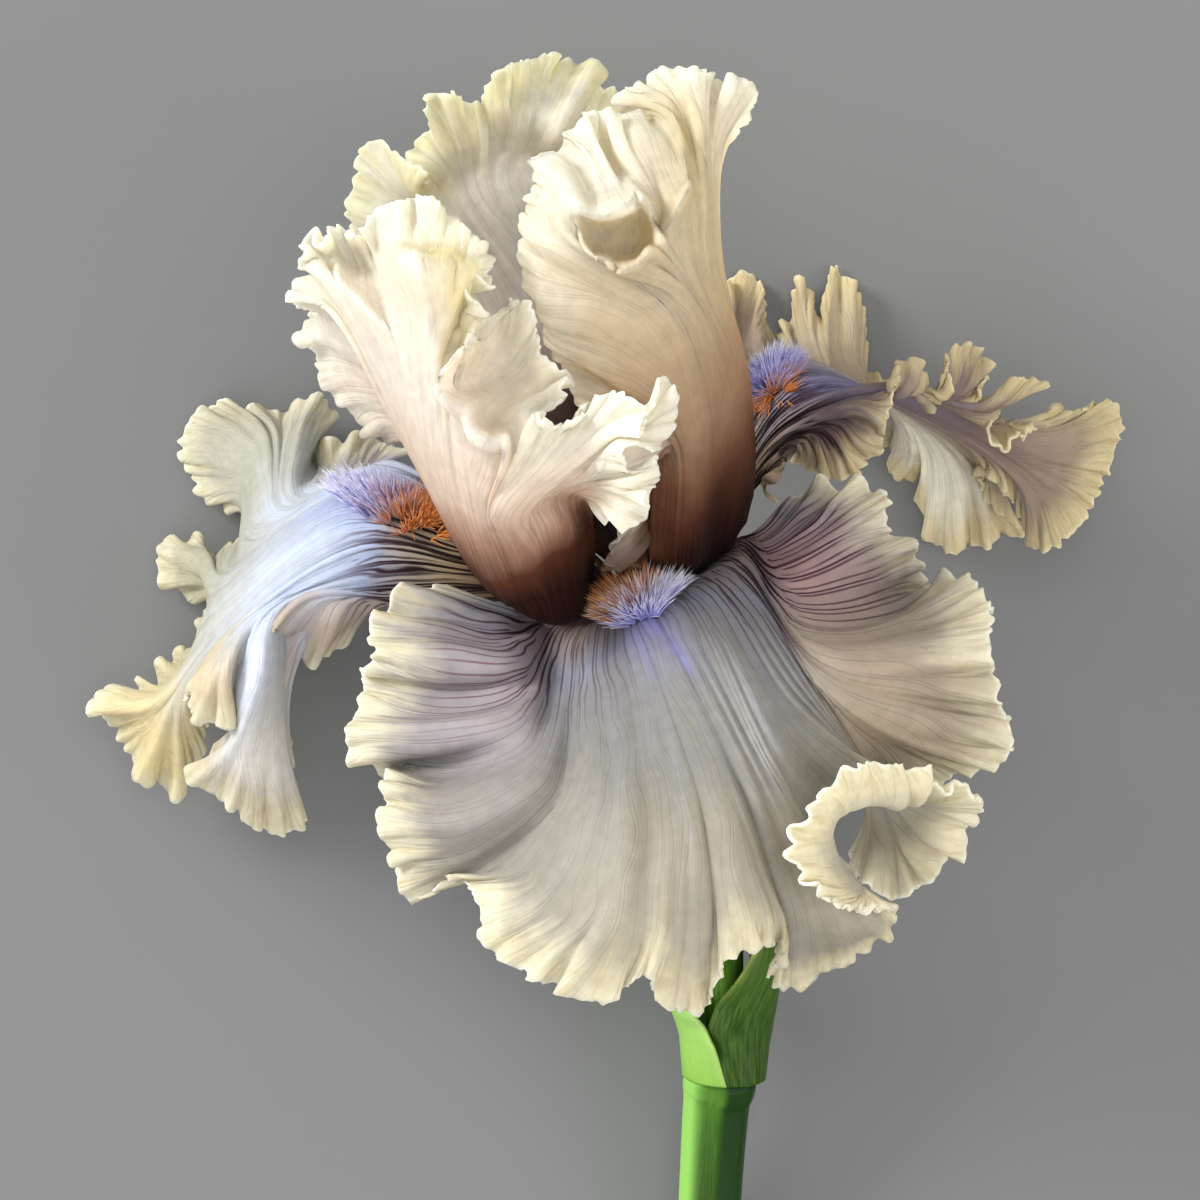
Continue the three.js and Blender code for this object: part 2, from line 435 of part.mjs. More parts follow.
const STANDARD_BACK = {
  azimuth: 180,
  sweep: -1,
  claw: STANDARD_CLAW,
  rows: [
    [[545, 470, -8], [600, 450, -18], [670, 455, -10]],
    [[470, 335, 0], [520, 320, -8], [590, 310, -13], [650, 320, -12], [700, 340, -8]],
  ],
  rays: [
    [[440, 300, 6], [400, 255, 8], [352, 232, 4]],
    [[440, 280, 4], [395, 220, 8], [347, 203, 6]],
    [[442, 262, 3], [395, 200, 8], [353, 178, 6]],
    [[446, 250, 2], [400, 190, 9], [362, 150, 8]],
    [[450, 240, 1], [405, 188, 11], [375, 140, 10]],
    [[455, 232, 0], [410, 190, 13], [400, 158, 14]],
    [[458, 225, 0], [418, 190, 14], [428, 172, 17]],
    [[461, 218, -1], [424, 180, 10], [416, 186, 14]],
    [[464, 210, -1], [432, 165, 6], [408, 158, 4]],
    [[468, 205, -2], [445, 150, 6], [430, 122, 6]],
    [[474, 200, -2], [455, 140, 9], [428, 100, 14]],
    [[480, 198, -3], [466, 135, 10], [452, 92, 12]],
    [[486, 196, -4], [478, 135, 6], [474, 104, 6]],
    [[492, 195, -5], [488, 130, 4], [484, 98, 4]],
    [[500, 195, -6], [500, 125, 6], [496, 76, 8]],
    [[508, 195, -7], [512, 122, 8], [510, 66, 12]],
    [[517, 195, -8], [524, 120, 8], [530, 60, 6]],
    [[526, 196, -9], [538, 120, 8], [552, 55, 2]],
    [[535, 197, -10], [550, 120, 9], [575, 62, 0]],
    [[545, 198, -11], [560, 125, 10], [592, 57, 0]],
    [[556, 200, -12], [572, 125, 8], [600, 70, 0]],
    [[568, 202, -13], [585, 125, 2], [600, 88, -4]],
    [[582, 205, -14], [600, 130, -2], [612, 90, -8]],
    [[598, 208, -14], [618, 135, -4], [625, 102, -8]],
    [[615, 212, -15], [640, 140, -6], [650, 100, -9]],
    [[630, 218, -15], [660, 150, -8], [672, 110, -10]],
    [[645, 226, -15], [675, 165, -10], [690, 130, -12]],
    [[660, 240, -15], [686, 190, -12], [698, 160, -16]],
  ],
};

// ---- The stalk: from the cut end of the stem up to the heart, as [x, y, height, radius] ----
const STEM = [
  [705, 1335, -38, 4.6], [707, 1280, -37.3, 4.55], [709, 1220, -36, 4.55], [713, 1150, -33.5, 4.7],
  [717, 1100, -31.5, 4.9], [719, 1090, -31, 5.3], [720, 1080, -30.5, 5.4], [721, 1073, -30.2, 4.9],
];
const OVARY = [
  [721, 1069, -30, 2.6], [724, 1010, -28, 2.7], [720, 955, -25.5, 3.4], [714, 915, -23, 4.9],
  [703, 865, -19.5, 5.2], [690, 815, -15.5, 4.7], [679, 770, -12, 3.5], [668, 722, -8.5, 3.3],
  [655, 660, -4.2, 3.7],
];
const TUBE_TOP_RADIUS = 5.4;
// Spathe valves, as rows [mm above the node, radius, from, to]: degrees about the stalk from the top side.
const SPATHE_OUTER = {
  aside: 0,
  rows: [
    [0.8, 5.3, -168, 8], [5, 6.1, -168, -12], [10, 7.6, -162, -32], [16, 8.5, -152, -52],
    [23, 8.3, -138, -72], [29, 7.4, -120, -88], [33, 6.7, -108, -98],
  ],
};
const SPATHE_INNER = {
  aside: 1.1,
  rows: [
    [0.8, 4, -20, 165], [4, 4.8, -26, 162], [8, 5.9, -20, 158], [12, 6.8, 0, 154],
    [16, 7.3, 32, 150], [20, 7.5, 52, 142], [26, 7.2, 70, 128], [32, 6.4, 80, 116], [36, 5.8, 88, 104],
  ],
};

// ---- Style arms and stamens, on the flower's axis ----
// A style arm's rows are [radius, height, half width, drop of its edges]; it stands over a fall.
const STYLE_ROWS = [
  [2.1, 0.4, 0.75, 0.1], [2.6, 4.6, 1.2, 0.3], [5, 9, 2, 0.7], [9.5, 12.2, 2.6, 1],
  [14.5, 13.6, 3, 1], [18, 14.2, 3, 0.7], [20.5, 15, 2.4, 0.1],
];
const FILAMENT = [[3.75, 0.4], [4.4, 3.4], [6.8, 6.8], [10, 8.7]];
const ANTHER = [[10.9, 9.1], [13.4, 10.2], [16.2, 10.4]];
const STYLE_AZIMUTHS = { front: -8, left: -113, right: 127 };

// ---- Meshes ----

/** Points of a smooth curve through a few. */
function curve(points) {
  return new THREE.CatmullRomCurve3(points, false, "centripetal");
}

/** The point of a curve at a share of its traced points, not of its length. */
function across(points, share) {
  return curve(points).getPoint(share);
}

/** Numbers interpolated smoothly between rows of numbers, at a share of the rows. */
function blend(rows, share) {
  const at = share * (rows.length - 1);
  const i = Math.min(Math.floor(at), rows.length - 2);
  return rows[i].map((value, k) => THREE.MathUtils.lerp(value, rows[i + 1][k], at - i));
}

/** A tepal's middle surface as a grid: [ray][step] of points, evenly spaced along each ray. */
function tepalGrid({ azimuth, sweep, claw, rows, rays }, raySteps, alongSteps) {
  const onClaw = ([turn, radius, height]) => onFlower(azimuth + sweep * turn, radius, height);
  const inner = [...claw.map((row) => row.map(onClaw)), ...rows.map((row) => row.map(sight))];
  const lines = rays.map((ray, i) => {
    const share = i / (rays.length - 1);
    const points = [...inner.map((row) => across(row, share)), ...ray.map(sight)];
    return curve(points).getSpacedPoints(alongSteps);
  });
  const grid = [];
  for (let i = 0; i <= raySteps; i++) {
    grid.push(lines[0].map((_, j) => across(lines.map((line) => line[j]), i / raySteps)));
  }
  return grid;
}

/** Which way a grid's surface faces at one of its points. */
function normalAt(grid, i, j) {
  const clamp = THREE.MathUtils.clamp;
  const at = (a, b) => grid[clamp(a, 0, grid.length - 1)][clamp(b, 0, grid[0].length - 1)];
  const acrossWay = at(i + 1, j).clone().sub(at(i - 1, j));
  const alongWay = at(i, j + 1).clone().sub(at(i, j - 1));
  return acrossWay.cross(alongWay).normalize();
}

/** A closed skin between two grids of the same size; the first lies on the side it faces. */
function skin(upper, lower) {
  const wide = upper.length;
  const long = upper[0].length;
  const positions = [upper, lower].flat(2).flatMap((point) => point.toArray());
  const top = (i, j) => i * long + j;
  const under = (i, j) => wide * long + top(i, j);
  const index = [];
  const quad = (a, b, c, d) => index.push(a, b, c, a, c, d);
  for (let i = 0; i < wide - 1; i++) {
    for (let j = 0; j < long - 1; j++) {
      quad(top(i, j), top(i + 1, j), top(i + 1, j + 1), top(i, j + 1));
      quad(under(i, j), under(i, j + 1), under(i + 1, j + 1), under(i + 1, j));
    }
  }
  for (let i = 0; i < wide - 1; i++) {
    quad(top(i + 1, 0), top(i, 0), under(i, 0), under(i + 1, 0));
    quad(top(i, long - 1), top(i + 1, long - 1), under(i + 1, long - 1), under(i, long - 1));
  }
  for (let j = 0; j < long - 1; j++) {
    quad(top(0, j), top(0, j + 1), under(0, j + 1), under(0, j));
    quad(top(wide - 1, j + 1), top(wide - 1, j), under(wide - 1, j), under(wide - 1, j + 1));
  }
  return new THREE.BufferGeometry()
    .setAttribute("position", new THREE.Float32BufferAttribute(positions, 3))
    .setIndex(index);
}

/** A grid moved along its own normals, by a distance that may differ from point to point. */
function moved(grid, distance) {
  return grid.map((line, i) =>
    line.map((point, j) => point.clone().addScaledVector(normalAt(grid, i, j), distance(i, j))));
}

/** A closed sheet of even thickness about a grid of points. */
function sheet(grid, thickness) {
  return skin(moved(grid, () => thickness / 2), moved(grid, () => -thickness / 2));
}

/** The low dome of hairs over part of a fall: a few of its lines, from the throat outwards. */
function beard(grid, [from, to], [start, end]) {
  const part = grid.slice(from, to + 1).map((line) => line.slice(start, end + 1));
  const facing = new THREE.Vector3();
  part.forEach((line, i) => line.forEach((_, j) => facing.add(normalAt(grid, from + i, start + j))));
  facing.normalize();
  const side = Math.sign(facing.dot(UP));
  facing.multiplyScalar(side);
  const base = TEPAL_THICKNESS / 2 + BEARD_GAP;
  const dome = (i, j) => {
    const edge = i === 0 || i === to - from || j === 0 || j === end - start;
    return base + BEARD_HEIGHT * (edge ? BEARD_EDGE_SHARE : 1);
  };
  const raised = (lift) => part.map((line, i) =>
    line.map((point, j) => point.clone().addScaledVector(facing, lift(i, j))));
  return side > 0 ? skin(raised(dome), raised(() => base)) : skin(raised(() => base), raised(dome));
}

/** A round stalk of changing thickness through [x, y, height, radius] points, closed at both ends. */
function stalk(points, radii, sides, steps) {
  const path = curve(points);
  const positions = [];
  for (let i = 0; i <= steps; i++) {
    const centre = path.getPoint(i / steps);
    const along = path.getTangent(i / steps);
    const side = new THREE.Vector3().crossVectors(along, Z_AXIS).normalize();
    const top = new THREE.Vector3().crossVectors(side, along);
    const [radius] = blend(radii.map((r) => [r]), i / steps);
    for (let k = 0; k < sides; k++) {
      const turn = (2 * Math.PI * k) / sides;
      const point = centre.clone()
        .addScaledVector(side, radius * Math.cos(turn))
        .addScaledVector(top, radius * Math.sin(turn));
      positions.push(...point);
    }
  }
  const first = positions.length / 3;
  positions.push(...path.getPoint(0), ...path.getPoint(1));
  const index = [];
  const at = (i, k) => i * sides + (k % sides);
  for (let i = 0; i < steps; i++) {
    for (let k = 0; k < sides; k++) {
      index.push(at(i, k), at(i + 1, k + 1), at(i, k + 1));
      index.push(at(i, k), at(i + 1, k), at(i + 1, k + 1));
    }
  }
  for (let k = 0; k < sides; k++) {
    index.push(first, at(0, k), at(0, k + 1));
    index.push(first + 1, at(steps, k + 1), at(steps, k));
  }
  return new THREE.BufferGeometry()
    .setAttribute("position", new THREE.Float32BufferAttribute(positions, 3))
    .setIndex(index);
}

/** A spathe valve, wrapped part of the way round the stalk above its node. */
function valve({ aside, rows }, acrossSteps, alongSteps) {
  const path = curve([...OVARY.map(sight), HEART]);
  const length = path.getLength();
  const grid = [];
  for (let i = 0; i <= acrossSteps; i++) {
    const line = [];
    for (let j = 0; j <= alongSteps; j++) {
      const [rise, radius, from, to] = blend(rows, j / alongSteps);
      const centre = path.getPointAt(rise / length);
      const up = path.getTangentAt(rise / length);
      const side = new THREE.Vector3().crossVectors(up, Z_AXIS).normalize();
      const front = new THREE.Vector3().crossVectors(side, up);
      const turn = THREE.MathUtils.degToRad(THREE.MathUtils.lerp(from, to, i / acrossSteps));
      line.push(centre.clone()
        .addScaledVector(side, aside + radius * Math.sin(turn))
        .addScaledVector(front, radius * Math.cos(turn)));
    }
    grid.push(line);
  }
  return sheet(grid, BRACT_THICKNESS);
}

/** A petal-like style arm that arches out over a fall. */
function styleArm(azimuth, acrossSteps, alongSteps) {
  const aside = onFlower(azimuth + 90, 1, 0).sub(HEART);
  const grid = [];
  for (let i = 0; i <= acrossSteps; i++) {
    const share = (2 * i) / acrossSteps - 1;
    const line = STYLE_ROWS.map(([radius, height, half, drop]) =>
      onFlower(azimuth, radius, height - drop * share * share).addScaledVector(aside, half * share));
    grid.push(curve(line).getSpacedPoints(alongSteps));
  }
  return sheet(grid, STYLE_THICKNESS);
}

/** A stalk in the plane of one azimuth, through [radius, height] points. */
function stamenPart(azimuth, points, radii, steps) {
  const path = points.map(([radius, height]) => onFlower(azimuth, radius, height));
  return stalk(path, radii, STAMEN_SIDES, steps);
}

// ---- How finely each kind of piece is cut up ----
const FALL_STEPS = 10; // from a claw to the margin
const STANDARD_STEPS = 9;
const STYLE_STEPS = [4, 7]; // across and along
const VALVE_STEPS = [9, 8];
const STAMEN_SIDES = 8;
const FILAMENT_STEPS = 6;
const ANTHER_STEPS = 5;
const STEM_CUTS = [18, 16]; // sides and steps
const OVARY_CUTS = [14, 18];

// ---- Plain colours ----
const LOOKS = {
  fall: { color: 0xd9d6dc, roughness: 0.6 },
  standard: { color: 0xf1e8d2, roughness: 0.6 },
  beard: { color: 0xb08a86, roughness: 0.8 },
  styleArm: { color: 0x6a4636, roughness: 0.6 },
  filament: { color: 0x8a6a52, roughness: 0.6 },
  anther: { color: 0x9a7e62, roughness: 0.8 },
  stem: { color: 0x5f9a33, roughness: 0.4 },
  ovary: { color: 0x7a9a4c, roughness: 0.5 },
  spatheOuter: { color: 0x8cc268, roughness: 0.45 },
  spatheInner: { color: 0x4d6b14, roughness: 0.45 },
};

// ---- The flower ----
const flower = new THREE.Group();

/** Adds one named piece. */
function add(name, geometry, look) {
  const material = new THREE.MeshStandardMaterial({ ...look, metalness: 0 });
  const mesh = new THREE.Mesh(geometry, material);
  mesh.name = name;
  flower.add(mesh);
}

// Each fall, with the lines [from, to] and the steps [start, end] of its grid that its beard covers.
const FALLS = {
  front: { net: FALL_FRONT, steps: 48, lines: [12, 21], reach: [1, 3] },
  left: { net: FALL_LEFT, steps: 34, lines: [17, 23], reach: [2, 5] },
  right: { net: FALL_RIGHT, steps: 40, lines: [25, 29], reach: [3, 5] },
};
for (const [side, { net, steps, lines, reach }] of Object.entries(FALLS)) {
  const grid = tepalGrid(net, steps, FALL_STEPS);
  add(`fall_${side}`, sheet(grid, TEPAL_THICKNESS), LOOKS.fall);
  add(`beard_${side}`, beard(grid, lines, reach), LOOKS.beard);
}

const STANDARDS = {
  left: { net: STANDARD_LEFT, steps: 46 },
  right: { net: STANDARD_RIGHT, steps: 38 },
  back: { net: STANDARD_BACK, steps: 20 },
};
for (const [side, { net, steps }] of Object.entries(STANDARDS)) {
  const grid = tepalGrid(net, steps, STANDARD_STEPS);
  add(`standard_${side}`, sheet(grid, TEPAL_THICKNESS), LOOKS.standard);
}

const filamentRadii = FILAMENT.map(() => FILAMENT_RADIUS);
const antherRadii = ANTHER_TAPER.map((share) => share * ANTHER_RADIUS);
for (const [side, azimuth] of Object.entries(STYLE_AZIMUTHS)) {
  add(`style_arm_${side}`, styleArm(azimuth, ...STYLE_STEPS), LOOKS.styleArm);
  add(`filament_${side}`, stamenPart(azimuth, FILAMENT, filamentRadii, FILAMENT_STEPS), LOOKS.filament);
  add(`anther_${side}`, stamenPart(azimuth, ANTHER, antherRadii, ANTHER_STEPS), LOOKS.anther);
}

const stemRadii = STEM.map((row) => row[3]);
add("stem", stalk(STEM.map(sight), stemRadii, ...STEM_CUTS), LOOKS.stem);
const ovaryRadii = [...OVARY.map((row) => row[3]), TUBE_TOP_RADIUS];
add("ovary", stalk([...OVARY.map(sight), HEART], ovaryRadii, ...OVARY_CUTS), LOOKS.ovary);
add("spathe_outer", valve(SPATHE_OUTER, ...VALVE_STEPS), LOOKS.spatheOuter);
add("spathe_inner", valve(SPATHE_INNER, ...VALVE_STEPS), LOOKS.spatheInner);

// The footprint's centre goes to the origin and the lowest point onto the surface.
const box = new THREE.Box3().setFromObject(flower);
const middle = box.getCenter(new THREE.Vector3());
flower.position.set(-middle.x, -middle.y, -box.min.z);

export default flower;
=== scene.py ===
"""A ruffled tall bearded iris flower on a short cut stem, lying as picked with its front fall facing up.

Metres, +Z up from the surface it lies on, +Y from the cut stem to the tops of the standards. The lines of
the tepals are traced as seen from straight above, in pixels of a 1200 square picture, each point with its
height in mm above the heart of the flower; a sight line from the eye puts each one in space.
"""

import logging
import math
from dataclasses import dataclass, replace
from enum import Enum

import bpy
import numpy as np
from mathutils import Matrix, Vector


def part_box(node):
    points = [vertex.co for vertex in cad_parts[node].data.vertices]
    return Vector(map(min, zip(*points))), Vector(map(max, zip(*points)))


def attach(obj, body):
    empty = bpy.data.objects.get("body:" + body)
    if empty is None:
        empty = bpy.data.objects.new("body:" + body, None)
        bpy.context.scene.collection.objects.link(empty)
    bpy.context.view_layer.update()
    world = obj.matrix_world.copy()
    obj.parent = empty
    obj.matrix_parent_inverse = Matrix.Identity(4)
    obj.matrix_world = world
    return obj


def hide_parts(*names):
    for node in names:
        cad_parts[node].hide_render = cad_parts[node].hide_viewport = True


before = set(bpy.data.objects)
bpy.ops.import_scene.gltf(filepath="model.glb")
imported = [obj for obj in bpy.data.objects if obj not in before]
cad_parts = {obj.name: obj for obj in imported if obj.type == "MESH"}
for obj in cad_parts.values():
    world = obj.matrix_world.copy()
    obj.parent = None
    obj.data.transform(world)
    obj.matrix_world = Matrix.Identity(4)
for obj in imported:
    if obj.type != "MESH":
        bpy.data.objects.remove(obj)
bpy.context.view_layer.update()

LOG = logging.getLogger("iris")
MM = 0.001

Socket = bpy.types.NodeSocket
Feed = Socket | float | str | tuple[float, ...]  # what an input takes: a string is a colour's hex code
Inputs = dict[str, Feed]
Point = tuple[float, float, float]
Row = tuple[Point, ...]
Stops = tuple[tuple[float, str], ...]

# ---- How the flower lies, and the eye above it ----
LEAN = math.radians(10)  # its top leans to the left
RISE = math.radians(25)  # and rises off the surface
EYE_HEIGHT = 700.0  # mm above the heart
MM_PER_PIXEL = 0.14  # at the heart's height
PICTURE = 1200  # pixels a side
HEART_PX = (645, 600, 0)

# ---- Sizes, mm ----
TEPAL_THICKNESS = 0.4
STYLE_THICKNESS = 0.5
BRACT_THICKNESS = 0.7
CLAW_RADIUS = 5.2
CLAW_SPREAD = 20  # degrees to each side of a claw's middle
CLAW_LIFT = 0.6
FLOOR_CLEARANCE = 0.35  # of a tepal's middle surface where it lies on the surface below
FLOOR_SOFTNESS = 0.8  # height over which it levels out there

# ---- Steps ----
CURVE_STEPS = 201  # to measure a ray
MARGIN_STEPS = 4001  # to measure a margin
MARGIN_FINER = 0.7  # how much closer a ray's points lie at its margin

# A claw's rows are (degrees from its middle, radius, height) about the flower's axis.
CLAW_FOOT = (
    (-CLAW_SPREAD, CLAW_RADIUS, CLAW_LIFT),
    (0, CLAW_RADIUS, CLAW_LIFT),
    (CLAW_SPREAD, CLAW_RADIUS, CLAW_LIFT),
)
FALL_CLAW = (
    CLAW_FOOT,
    ((-24, 6, 2.6), (0, 6, 2.6), (24, 6, 2.6)),
    ((-32, 9.5, 2.2), (-15, 10.5, 3.6), (0, 11, 4), (15, 10.5, 3.6), (32, 9.5, 2.2)),
)
STANDARD_CLAW = (CLAW_FOOT, ((-36, 8, 6.5), (0, 8.5, 6), (36, 8, 6.5)))


@dataclass(frozen=True)
class Net:
    """The traced lines of a tepal: rows cross it near its claw, rays then run out to its margin."""

    azimuth: float
    sweep: int
    claw: tuple[Row, ...]
    rows: tuple[Row, ...]
    rays: tuple[Row, ...]


FALL_FRONT = Net(
    azimuth=0,
    sweep=1,
    claw=FALL_CLAW,
    rows=(
        ((550, 619, 2), (572, 624, 7), (603, 622, 17), (655, 616, 28), (692, 596, 25), (707, 579, 19),
         (718, 565, 12), (728, 551, 7), (738, 540, 2)),
    ),
    rays=(
        ((522, 613, 11), (482, 599, 12), (446, 585, 11)),
        ((505, 622, 15), (448, 606, 16), (404, 594, 14)),
        ((498, 634, 19), (430, 622, 20), (378, 612, 17)),
        ((500, 650, 24), (436, 645, 25), (366, 640, 22)),
        ((508, 668, 26), (446, 668, 25), (374, 652, 22)),
        ((512, 684, 25), (450, 690, 21), (362, 672, 17)),
        ((514, 696, 27), (448, 708, 23), (366, 690, 17)),
        ((518, 706, 30), (440, 724, 28), (347, 722, 22)),
        ((520, 720, 32), (446, 745, 28), (346, 748, 22)),
        ((524, 736, 33), (455, 764, 25), (362, 765, 17)),
        ((528, 750, 34), (452, 776, 27), (386, 764, 18)),
        ((532, 765, 37), (452, 800, 35), (382, 790, 27)),
        ((540, 780, 39), (462, 826, 37), (378, 822, 28)),
        ((548, 792, 39), (478, 846, 35), (390, 858, 27)),
        ((556, 800, 39), (500, 852, 34), (414, 902, 24)),
        ((566, 806, 41), (520, 868, 38), (452, 876, 31)),
        ((580, 812, 43), (538, 885, 42), (478, 905, 36)),
        ((596, 816, 45), (560, 900, 45), (488, 944, 38)),
        ((614, 820, 46), (590, 912, 49), (520, 972, 44)),
        ((632, 824, 47), (615, 918, 50), (572, 996, 45)),
        ((650, 826, 47), (640, 922, 49), (614, 997, 44)),
        ((668, 826, 48), (664, 925, 50), (645, 975, 47)),
        ((684, 824, 48), (682, 925, 49), (662, 1006, 44)),
        ((698, 820, 48), (704, 920, 47), (706, 1008, 36)),
        ((712, 814, 48), (724, 910, 48), (724, 964, 45)),
        ((726, 806, 48), (744, 900, 48), (752, 950, 44)),
        ((738, 796, 47), (766, 880, 46), (779, 918, 42), (776, 945, 36)),
        ((748, 786, 46), (776, 876, 43), (786, 918, 37), (782, 990, 20)),
        ((752, 781, 46), (786, 874, 42), (800, 918, 37), (800, 985, 18)),
        ((756, 776, 45), (796, 870, 41), (818, 922, 37), (828, 968, 18)),
        ((759, 773, 45), (804, 866, 41), (836, 922, 37), (843, 968, 20)),
        ((762, 770, 44), (814, 864, 40), (854, 920, 35), (868, 950, 18)),
        ((765, 765, 44), (822, 862, 38), (872, 915, 32), (886, 932, 20)),
        ((767, 761, 44), (828, 858, 36), (880, 905, 30), (896, 914, 26)),
        ((770, 757, 44), (824, 850, 34), (862, 886, 34), (850, 896, 44), (826, 899, 50)),
        ((772, 752, 43), (818, 832, 33), (842, 862, 38), (826, 872, 47), (800, 872, 52)),
        ((776, 746, 43), (822, 818, 32), (834, 842, 40), (816, 850, 49), (790, 855, 53)),
        ((780, 740, 42), (824, 806, 31), (832, 828, 40), (818, 826, 49), (800, 822, 53)),
        ((784, 734, 41), (830, 796, 30), (840, 814, 39), (832, 804, 48), (812, 800, 52)),
        ((788, 728, 40), (844, 788, 29), (856, 810, 37), (852, 792, 47), (846, 770, 51)),
        ((791, 722, 39), (860, 786, 27), (878, 808, 34), (878, 788, 44), (872, 767, 48)),
        ((794, 716, 38), (880, 784, 25), (900, 806, 30), (902, 784, 38), (896, 764, 42)),
        ((797, 711, 37), (896, 782, 23), (918, 800, 27), (922, 790, 32), (918, 779, 34)),
        ((800, 708, 37), (905, 786, 21), (935, 795, 26), (945, 791, 28)),
        ((803, 705, 36), (908, 790, 19), (945, 796, 22), (970, 789, 24)),
        ((806, 702, 36), (908, 798, 15), (950, 806, 18), (982, 808, 16)),
        ((808, 700, 35), (905, 806, 12), (940, 822, 14), (970, 828, 12)),
        ((811, 698, 35), (900, 812, 9), (925, 838, 10), (962, 848, 8)),
        ((813, 697, 34), (892, 816, 6), (910, 850, 7), (937, 873, 6)),
        ((815, 696, 34), (884, 816, 4), (892, 850, 5), (893, 900, 5)),
        ((817, 695, 33), (874, 812, 2), (872, 850, 3), (870, 886, 4)),
        ((819, 694, 33), (866, 806, 0), (862, 830, 0), (848, 862, 0)),
        ((820, 692, 33), (872, 790, 2), (880, 805, -3), (885, 830, -6)),
        ((821, 691, 34), (890, 770, 8), (920, 795, 0)),
        ((822, 690, 34), (908, 757, 14), (950, 784, 6)),
        ((825, 685, 34), (925, 735, 19), (1008, 752, 14)),
        ((827, 679, 34), (925, 712, 22), (1012, 738, 18)),
        ((826, 670, 34), (920, 690, 25), (1000, 700, 24)),
        ((824, 660, 34), (915, 668, 27), (995, 672, 26)),
        ((818, 648, 33), (910, 648, 26), (990, 640, 27)),
        ((812, 638, 31), (905, 632, 22), (992, 608, 22)),
        ((806, 628, 28), (900, 622, 15), (972, 583, 12)),
        ((800, 618, 26), (895, 612, 9), (943, 585, 2)),
        ((794, 606, 24), (880, 600, 8), (925, 590, -2)),
        ((790, 594, 22), (865, 580, 11), (920, 566, 2)),
        ((786, 582, 21), (855, 560, 13), (906, 538, 5)),
        ((782, 570, 19), (845, 540, 13), (885, 526, 8)),
        ((778, 560, 16), (838, 525, 12), (889, 497, 10)),
        ((772, 550, 13), (822, 512, 9), (860, 486, 5)),
        ((764, 540, 9), (800, 510, 4), (822, 484, 0)),
        ((754, 534, 5), (776, 512, 0), (790, 494, -4)),
    ),
)
FALL_LEFT = Net(
    azimuth=-114,
    sweep=-1,
    claw=FALL_CLAW,
    rows=(
        ((500, 600, -2), (458, 540, 3), (470, 500, -9)),
        ((418, 607, -4), (388, 576, 0), (362, 540, 1), (345, 512, -3), (348, 490, -10), (362, 474, -16),
         (385, 462, -21)),
    ),
    rays=(
        ((392, 604, -4), (372, 612, -7), (356, 636, -12)),
        ((360, 600, -2), (345, 618, -3), (326, 656, -10)),
        ((335, 600, -1), (318, 622, -2), (303, 657, -9)),
        ((318, 600, -1), (292, 626, -2), (283, 648, -8)),
        ((305, 598, -1), (275, 628, -1), (268, 640, -5)),
        ((292, 602, -2), (290, 655, -7), (287, 715, -14), (292, 782, -24)),
        ((286, 606, -2), (282, 662, -4), (280, 740, -12), (305, 822, -24)),
        ((280, 610, -2), (274, 672, -1), (262, 750, -8), (264, 832, -18)),
        ((274, 612, -2), (262, 680, 1), (246, 750, -6), (238, 814, -15)),
        ((268, 614, -3), (250, 690, 1), (232, 735, -6), (192, 772, -16)),
        ((262, 616, -3), (240, 690, -1), (232, 720, -8), (225, 747, -20)),
        ((256, 618, -4), (228, 674, 1), (240, 724, -5)),
        ((250, 620, -5), (214, 672, 0), (200, 724, -6)),
        ((245, 622, -6), (206, 670, -4), (186, 700, -10)),
        ((240, 624, -7), (200, 674, -9), (202, 684, -8)),
        ((236, 626, -9), (190, 690, -15), (204, 738, -27)),
        ((232, 626, -10), (180, 700, -18), (180, 792, -34)),
        ((228, 626, -11), (170, 705, -20), (150, 785, -34)),
        ((224, 626, -12), (160, 705, -21), (112, 730, -33)),
        ((220, 626, -13), (155, 700, -22), (94, 700, -31)),
        ((216, 624, -14), (160, 692, -24), (110, 688, -31)),
        ((213, 622, -15), (170, 684, -27), (140, 690, -36)),
        ((210, 620, -16), (185, 665, -30), (165, 660, -39)),
        ((208, 616, -17), (200, 642, -30), (206, 646, -37)),
        ((208, 610, -18), (212, 615, -30), (200, 620, -39)),
        ((210, 604, -19), (222, 600, -30), (228, 596, -36)),
        ((214, 596, -19), (205, 588, -30), (176, 596, -41)),
        ((218, 588, -19), (200, 572, -30), (155, 565, -41)),
        ((222, 580, -19), (205, 558, -31), (170, 546, -41)),
        ((228, 572, -20), (224, 554, -31), (232, 545, -37)),
        ((236, 562, -20), (241, 540, -30), (250, 532, -34)),
        ((244, 552, -20), (248, 520, -32), (246, 512, -37)),
        ((252, 542, -20), (242, 495, -33), (212, 500, -41)),
        ((258, 534, -20), (240, 480, -34), (190, 478, -42)),
        ((264, 528, -20), (242, 465, -35), (180, 458, -42)),
        ((270, 522, -20), (245, 450, -36), (182, 436, -42)),
        ((276, 516, -20), (250, 440, -36), (192, 420, -42)),
        ((282, 512, -20), (260, 430, -36), (212, 402, -42)),
        ((288, 508, -20), (272, 430, -36), (245, 406, -40)),
        ((293, 504, -20), (286, 430, -36), (285, 410, -40)),
        ((298, 500, -20), (302, 430, -34), (320, 392, -38)),
        ((304, 496, -21), (312, 440, -35), (330, 408, -40)),
        ((314, 490, -21), (318, 462, -38), (326, 440, -43)),
        ((326, 486, -22), (332, 470, -34), (334, 446, -38)),
        ((338, 482, -22), (355, 460, -33), (362, 436, -38)),
        ((352, 478, -22), (375, 458, -33), (396, 440, -38)),
        ((366, 474, -23), (395, 460, -32), (430, 446, -36)),
    ),
)
